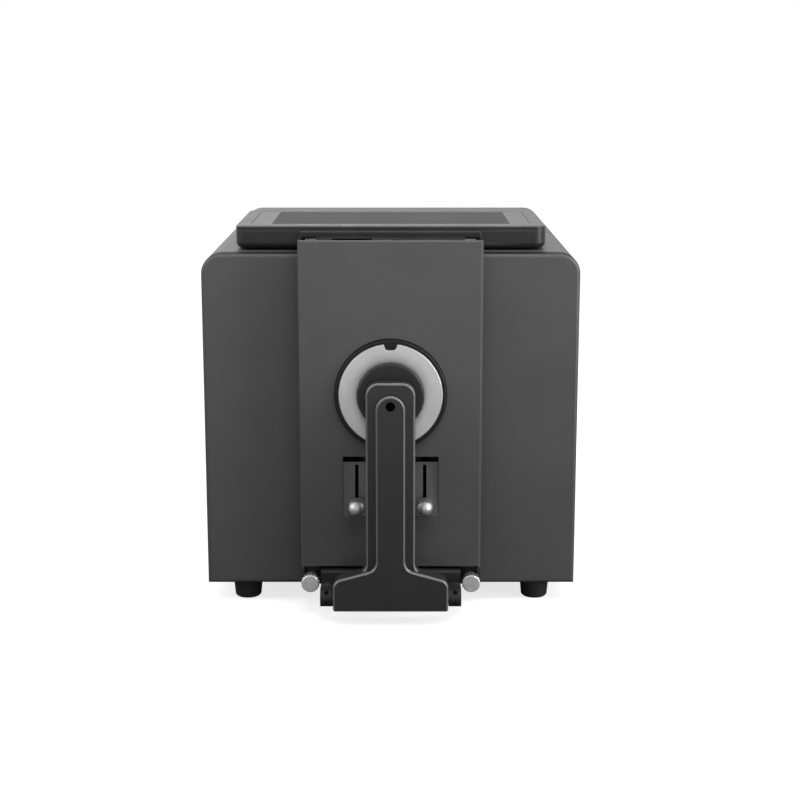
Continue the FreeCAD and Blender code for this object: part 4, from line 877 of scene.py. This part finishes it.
# The serial connector's face and contacts, in millimetres.
INSERT_OUTLINE = ((-7.7, 3.6), (7.7, 3.6), (6.4, -3.6), (-6.4, -3.6))
INSERT_BACK = -0.5
INSERT_FRONT = 0.1
INSERT_EDGE = 0.08
CONTACT_PITCH = 2.76
CONTACT_ROWS = ((5, 1.4), (4, -1.4))
CONTACT_PROFILE = ((0, 0), (0.62, 0), (0.62, 0.22), (0.42, 0.22), (0.42, 0.05), (0, 0.05))


def serial_face():
    """The black face of the serial connector and its nine sockets."""
    low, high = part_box("serial_port")
    middle = middle_of(low, high)
    shape = bmesh.new()
    rings = []
    for y in (INSERT_BACK, INSERT_FRONT):
        corners = [(middle.x + a * MM, high.y + y * MM, middle.z + b * MM) for a, b in INSERT_OUTLINE]
        rings.append([shape.verts.new(corner) for corner in corners])
    shape.faces.new(rings[0])
    shape.faces.new(rings[1])
    for i in range(4):
        j = (i + 1) % 4
        shape.faces.new((rings[0][i], rings[0][j], rings[1][j], rings[1][i]))
    bmesh.ops.recalc_face_normals(shape, faces=shape.faces)
    soften(shape, INSERT_EDGE * MM)
    smooth_faces(finished(shape, "serial_insert", "socket_black", "socket_black", "casing"))
    places = []
    for count, rise in CONTACT_ROWS:
        for i in range(count):
            across = (i - (count - 1) / 2) * CONTACT_PITCH * MM
            place = (middle.x + across, high.y, middle.z + rise * MM)
            places.append((place, (FACES_BACK, 0, 0)))
    profile = [(r * MM, h * MM) for r, h in CONTACT_PROFILE]
    tube = turned_shape(profile, lambda a, b, h: (a, b, h))
    set_out(tube, places, "serial_sockets", "stand_brass", "casing")


# The data socket's contact strips, in millimetres.
STRIP_SIZE = (0.9, 4.5, 0.14)
STRIP_TAPER = 0.7
STRIP_EDGE = 0.03
STRIP_APART = 1.25
STRIP_SUNK = 4.2


def usb_contacts():
    """Four sprung contacts, two above and two below the tongue."""
    low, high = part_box("usb_socket")
    middle = middle_of(low, high)
    strip = bmesh.new()
    bmesh.ops.create_cube(strip, size=1.0)
    for vertex in strip.verts:
        vertex.co = Vector(place * size for place, size in zip(vertex.co, STRIP_SIZE)) * MM
        if vertex.co.y > 0:
            vertex.co.x *= STRIP_TAPER
    soften(strip, STRIP_EDGE * MM, segments=1)
    places = []
    for side in (-STRIP_APART, STRIP_APART):
        for rise in (-STRIP_APART, STRIP_APART):
            place = (middle.x + side * MM, high.y - STRIP_SUNK * MM, middle.z + rise * MM)
            places.append((place, (0, 0, 0)))
    set_out(strip, places, "usb_contacts", "stand_brass", "casing")


WIRE_R = 0.6 * MM
SPRING_TURNS = 18.0
TURN_STEPS = 28
WIRE_SIDES = 10


def wound_spring():
    """The clamp's torsion spring as real coils of wire."""
    low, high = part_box("arm_spring")
    middle = middle_of(low, high)
    pattern = Pattern("Wound spring")
    turns = pattern.size("Turns", "NodeSocketFloat", SPRING_TURNS)
    radius = pattern.size("Coil radius", "NodeSocketFloat", (high.z - low.z) / 2 - WIRE_R)
    length = pattern.size("Length", "NodeSocketFloat", high.x - low.x - 2 * WIRE_R)
    wire = pattern.size("Wire radius", "NodeSocketFloat", WIRE_R)
    spiral = pattern.node(
        "GeometryNodeCurveSpiral",
        Resolution=TURN_STEPS,
        Rotations=turns,
        Start_Radius=radius,
        End_Radius=radius,
        Height=length,
    )
    section = pattern.node("GeometryNodeCurvePrimitiveCircle", Resolution=WIRE_SIDES, Radius=wire)
    tube = pattern.node(
        "GeometryNodeCurveToMesh",
        Curve=spiral.outputs["Curve"],
        Profile_Curve=section.outputs["Curve"],
        Fill_Caps=True,
    )
    laid = pattern.node(
        "GeometryNodeTransform",
        Geometry=tube.outputs["Mesh"],
        Translation=Vector((low.x + WIRE_R, middle.y, middle.z)),
        Rotation=Euler((0, math.pi / 2, 0)),
    )
    seed = bpy.data.meshes.new("Spring seed")
    body = BODY_OF["arm_spring"]
    pattern.kept(laid.outputs["Geometry"], seed, "arm_spring_coils", "hinge_steel", body, "arm_spring")


rear_screws()
foot_screw_heads()
ear_set_screws()
serial_face()
usb_contacts()
wound_spring()

REPLACED = set(SOFTENED) | {"lever_knob_right", "lever_knob_left"}
REPLACED |= {"rear_panel_screws", "foot_screws", "arm_spring"}
# Painted shade: the lever rods and carriages behind the slots painted near-black, so the slots read as
# shade.
PAINTED_SHADE_NODES = {"lever_rods", "lever_carriage_right", "lever_carriage_left"}
for node_name, node in NODES.items():
    if node_name not in REPLACED:
        finish_name = "painted_shade_black" if node_name in PAINTED_SHADE_NODES else SLOT_OF[node_name]
        node.data.materials.clear()
        node.data.materials.append(FINISHES[finish_name])


# Studio: a pale floor, soft boxes and the camera.


FLOOR_HALF = 30.0
FLOOR_GREY = (0.3, 0.3, 0.3, 1)
FLOOR_GLOW = 0.76
THROWN_REACH = (0.5, 1.9)
THROWN_LEVELS = (0.08, 0.8)


def studio_floor():
    """A pale table: white to the camera, dimmer as the light that it throws back."""
    shape = bmesh.new()
    bmesh.ops.create_grid(shape, x_segments=1, y_segments=1, size=FLOOR_HALF)
    mesh = bpy.data.meshes.new("Studio floor")
    shape.to_mesh(mesh)
    shape.free()
    floor = bpy.data.objects.new("Studio_floor", mesh)
    bpy.context.scene.collection.objects.link(floor)
    material = bpy.data.materials.new("Pale floor")
    material.use_nodes = True
    tree = material.node_tree
    seen = tree.nodes["Principled BSDF"]
    seen.inputs["Base Color"].default_value = FLOOR_GREY
    seen.inputs["Roughness"].default_value = 0.9
    seen.inputs["Specular IOR Level"].default_value = 0.1
    seen.inputs["Emission Color"].default_value = (1, 1, 1, 1)
    seen.inputs["Emission Strength"].default_value = FLOOR_GLOW
    spot = tree.nodes.new("ShaderNodeNewGeometry")
    length = tree.nodes.new("ShaderNodeVectorMath")
    length.operation = "LENGTH"
    tree.links.new(spot.outputs["Position"], length.inputs[0])
    level = ranged(tree, length.outputs["Value"], *THROWN_REACH, *THROWN_LEVELS)
    thrown = tree.nodes.new("ShaderNodeBsdfDiffuse")
    tree.links.new(level, thrown.inputs["Color"])
    ray = tree.nodes.new("ShaderNodeLightPath")
    mix = tree.nodes.new("ShaderNodeMixShader")
    tree.links.new(ray.outputs["Is Camera Ray"], mix.inputs["Fac"])
    tree.links.new(thrown.outputs["BSDF"], mix.inputs[1])
    tree.links.new(seen.outputs["BSDF"], mix.inputs[2])
    tree.links.new(mix.outputs["Shader"], tree.nodes["Material Output"].inputs["Surface"])
    mesh.materials.append(material)


def soft_box(name, place, target, width, height, power, mirrored=True):
    """A soft box; one that isn't mirrored lights surfaces without a glare in them."""
    light = bpy.data.lights.new(name, "AREA")
    light.shape = "RECTANGLE"
    light.size = width
    light.size_y = height
    light.energy = power
    lamp = bpy.data.objects.new(name, light)
    lamp.location = place
    lamp.rotation_mode = "QUATERNION"
    aim = Vector(target) - Vector(place)
    lamp.rotation_quaternion = aim.to_track_quat("-Z", "Y")
    lamp.visible_glossy = mirrored
    bpy.context.scene.collection.objects.link(lamp)


# Levels of the room by height, as pairs of upward share and level: for its two sides.
BEHIND_HIGH = ((0, 0), (0.13, 0), (0.28, 0.85), (0.5, 0.7), (0.75, 0.4), (1, 0.3))
BEHIND_LOW = ((0, 0.5), (0.038, 0.5), (0.055, 0.11), (0.16, 0.12))
BEFORE = ((0, 0.43), (0.5, 0.38), (1, 0.3))
LEFT_SHARE = 1.12
RIGHT_SHARE = 0.48
TURNOVER = 0.3
ROOM_STRENGTH = 2.0


def sky_levels(tree, height, stops):
    return ramped(tree, height, [(at, grey(level)) for at, level in stops])


def sideways(tree, across, left, right):
    """A level that changes from one side of the room to the other."""
    return ranged(tree, across, -TURNOVER, TURNOVER, left, right)


def studio_sky():
    """A white room, with a dim band above the horizon behind the object."""
    world = bpy.data.worlds.new("Studio")
    world.use_nodes = True
    tree = world.node_tree
    place = tree.nodes.new("ShaderNodeTexCoord")
    split = tree.nodes.new("ShaderNodeSeparateXYZ")
    tree.links.new(place.outputs["Generated"], split.inputs["Vector"])
    height = split.outputs["Z"]
    behind = tree.nodes.new("ShaderNodeVectorMath")
    behind.operation = "MULTIPLY_ADD"
    share = sideways(tree, split.outputs["X"], LEFT_SHARE, RIGHT_SHARE)
    tree.links.new(sky_levels(tree, height, BEHIND_HIGH), behind.inputs[0])
    tree.links.new(share, behind.inputs[1])
    tree.links.new(sky_levels(tree, height, BEHIND_LOW), behind.inputs[2])
    before = sky_levels(tree, height, BEFORE)
    away = sideways(tree, split.outputs["Y"], 0, 1)
    room = mixed(tree, away, before, behind.outputs["Vector"])
    ray = tree.nodes.new("ShaderNodeLightPath")
    seen = mixed(tree, ray.outputs["Is Camera Ray"], room, grey(1 / ROOM_STRENGTH))
    tree.links.new(seen, tree.nodes["Background"].inputs["Color"])
    tree.nodes["Background"].inputs["Strength"].default_value = ROOM_STRENGTH
    bpy.context.scene.world = world


CAMERA_PLACE = (0.0059, -1.1579, 0.352)
CAMERA_DOWN = 11.9
CAMERA_LENS = 73.2


def studio_camera():
    camera = bpy.data.cameras.new("Camera")
    camera.lens = CAMERA_LENS
    camera.sensor_width = 36.0
    camera.clip_start = 0.05
    camera.clip_end = 200.0
    eye = bpy.data.objects.new("Camera", camera)
    eye.location = CAMERA_PLACE
    eye.rotation_euler = (math.radians(90 - CAMERA_DOWN), 0, 0)
    bpy.context.scene.collection.objects.link(eye)
    bpy.context.scene.camera = eye


studio_floor()
studio_sky()
studio_camera()
soft_box("Top_soft_box", (-0.5, 0.3, 1.5), (0, 0, 0.2), 1.4, 1.4, 14, mirrored=False)
soft_box("Front_soft_box", (0.2, -0.5, 0.8), (0, -0.15, 0.18), 0.9, 0.35, 9.5, mirrored=False)
soft_box("Right_strip", (1.1, -0.7, 0.5), (0.1, -0.13, 0.15), 0.25, 1.0, 14)
soft_box("Left_strip", (-1.2, -0.7, 0.7), (0, -0.13, 0.15), 0.4, 0.9, 4)
bpy.context.scene.view_settings.view_transform = "Standard"
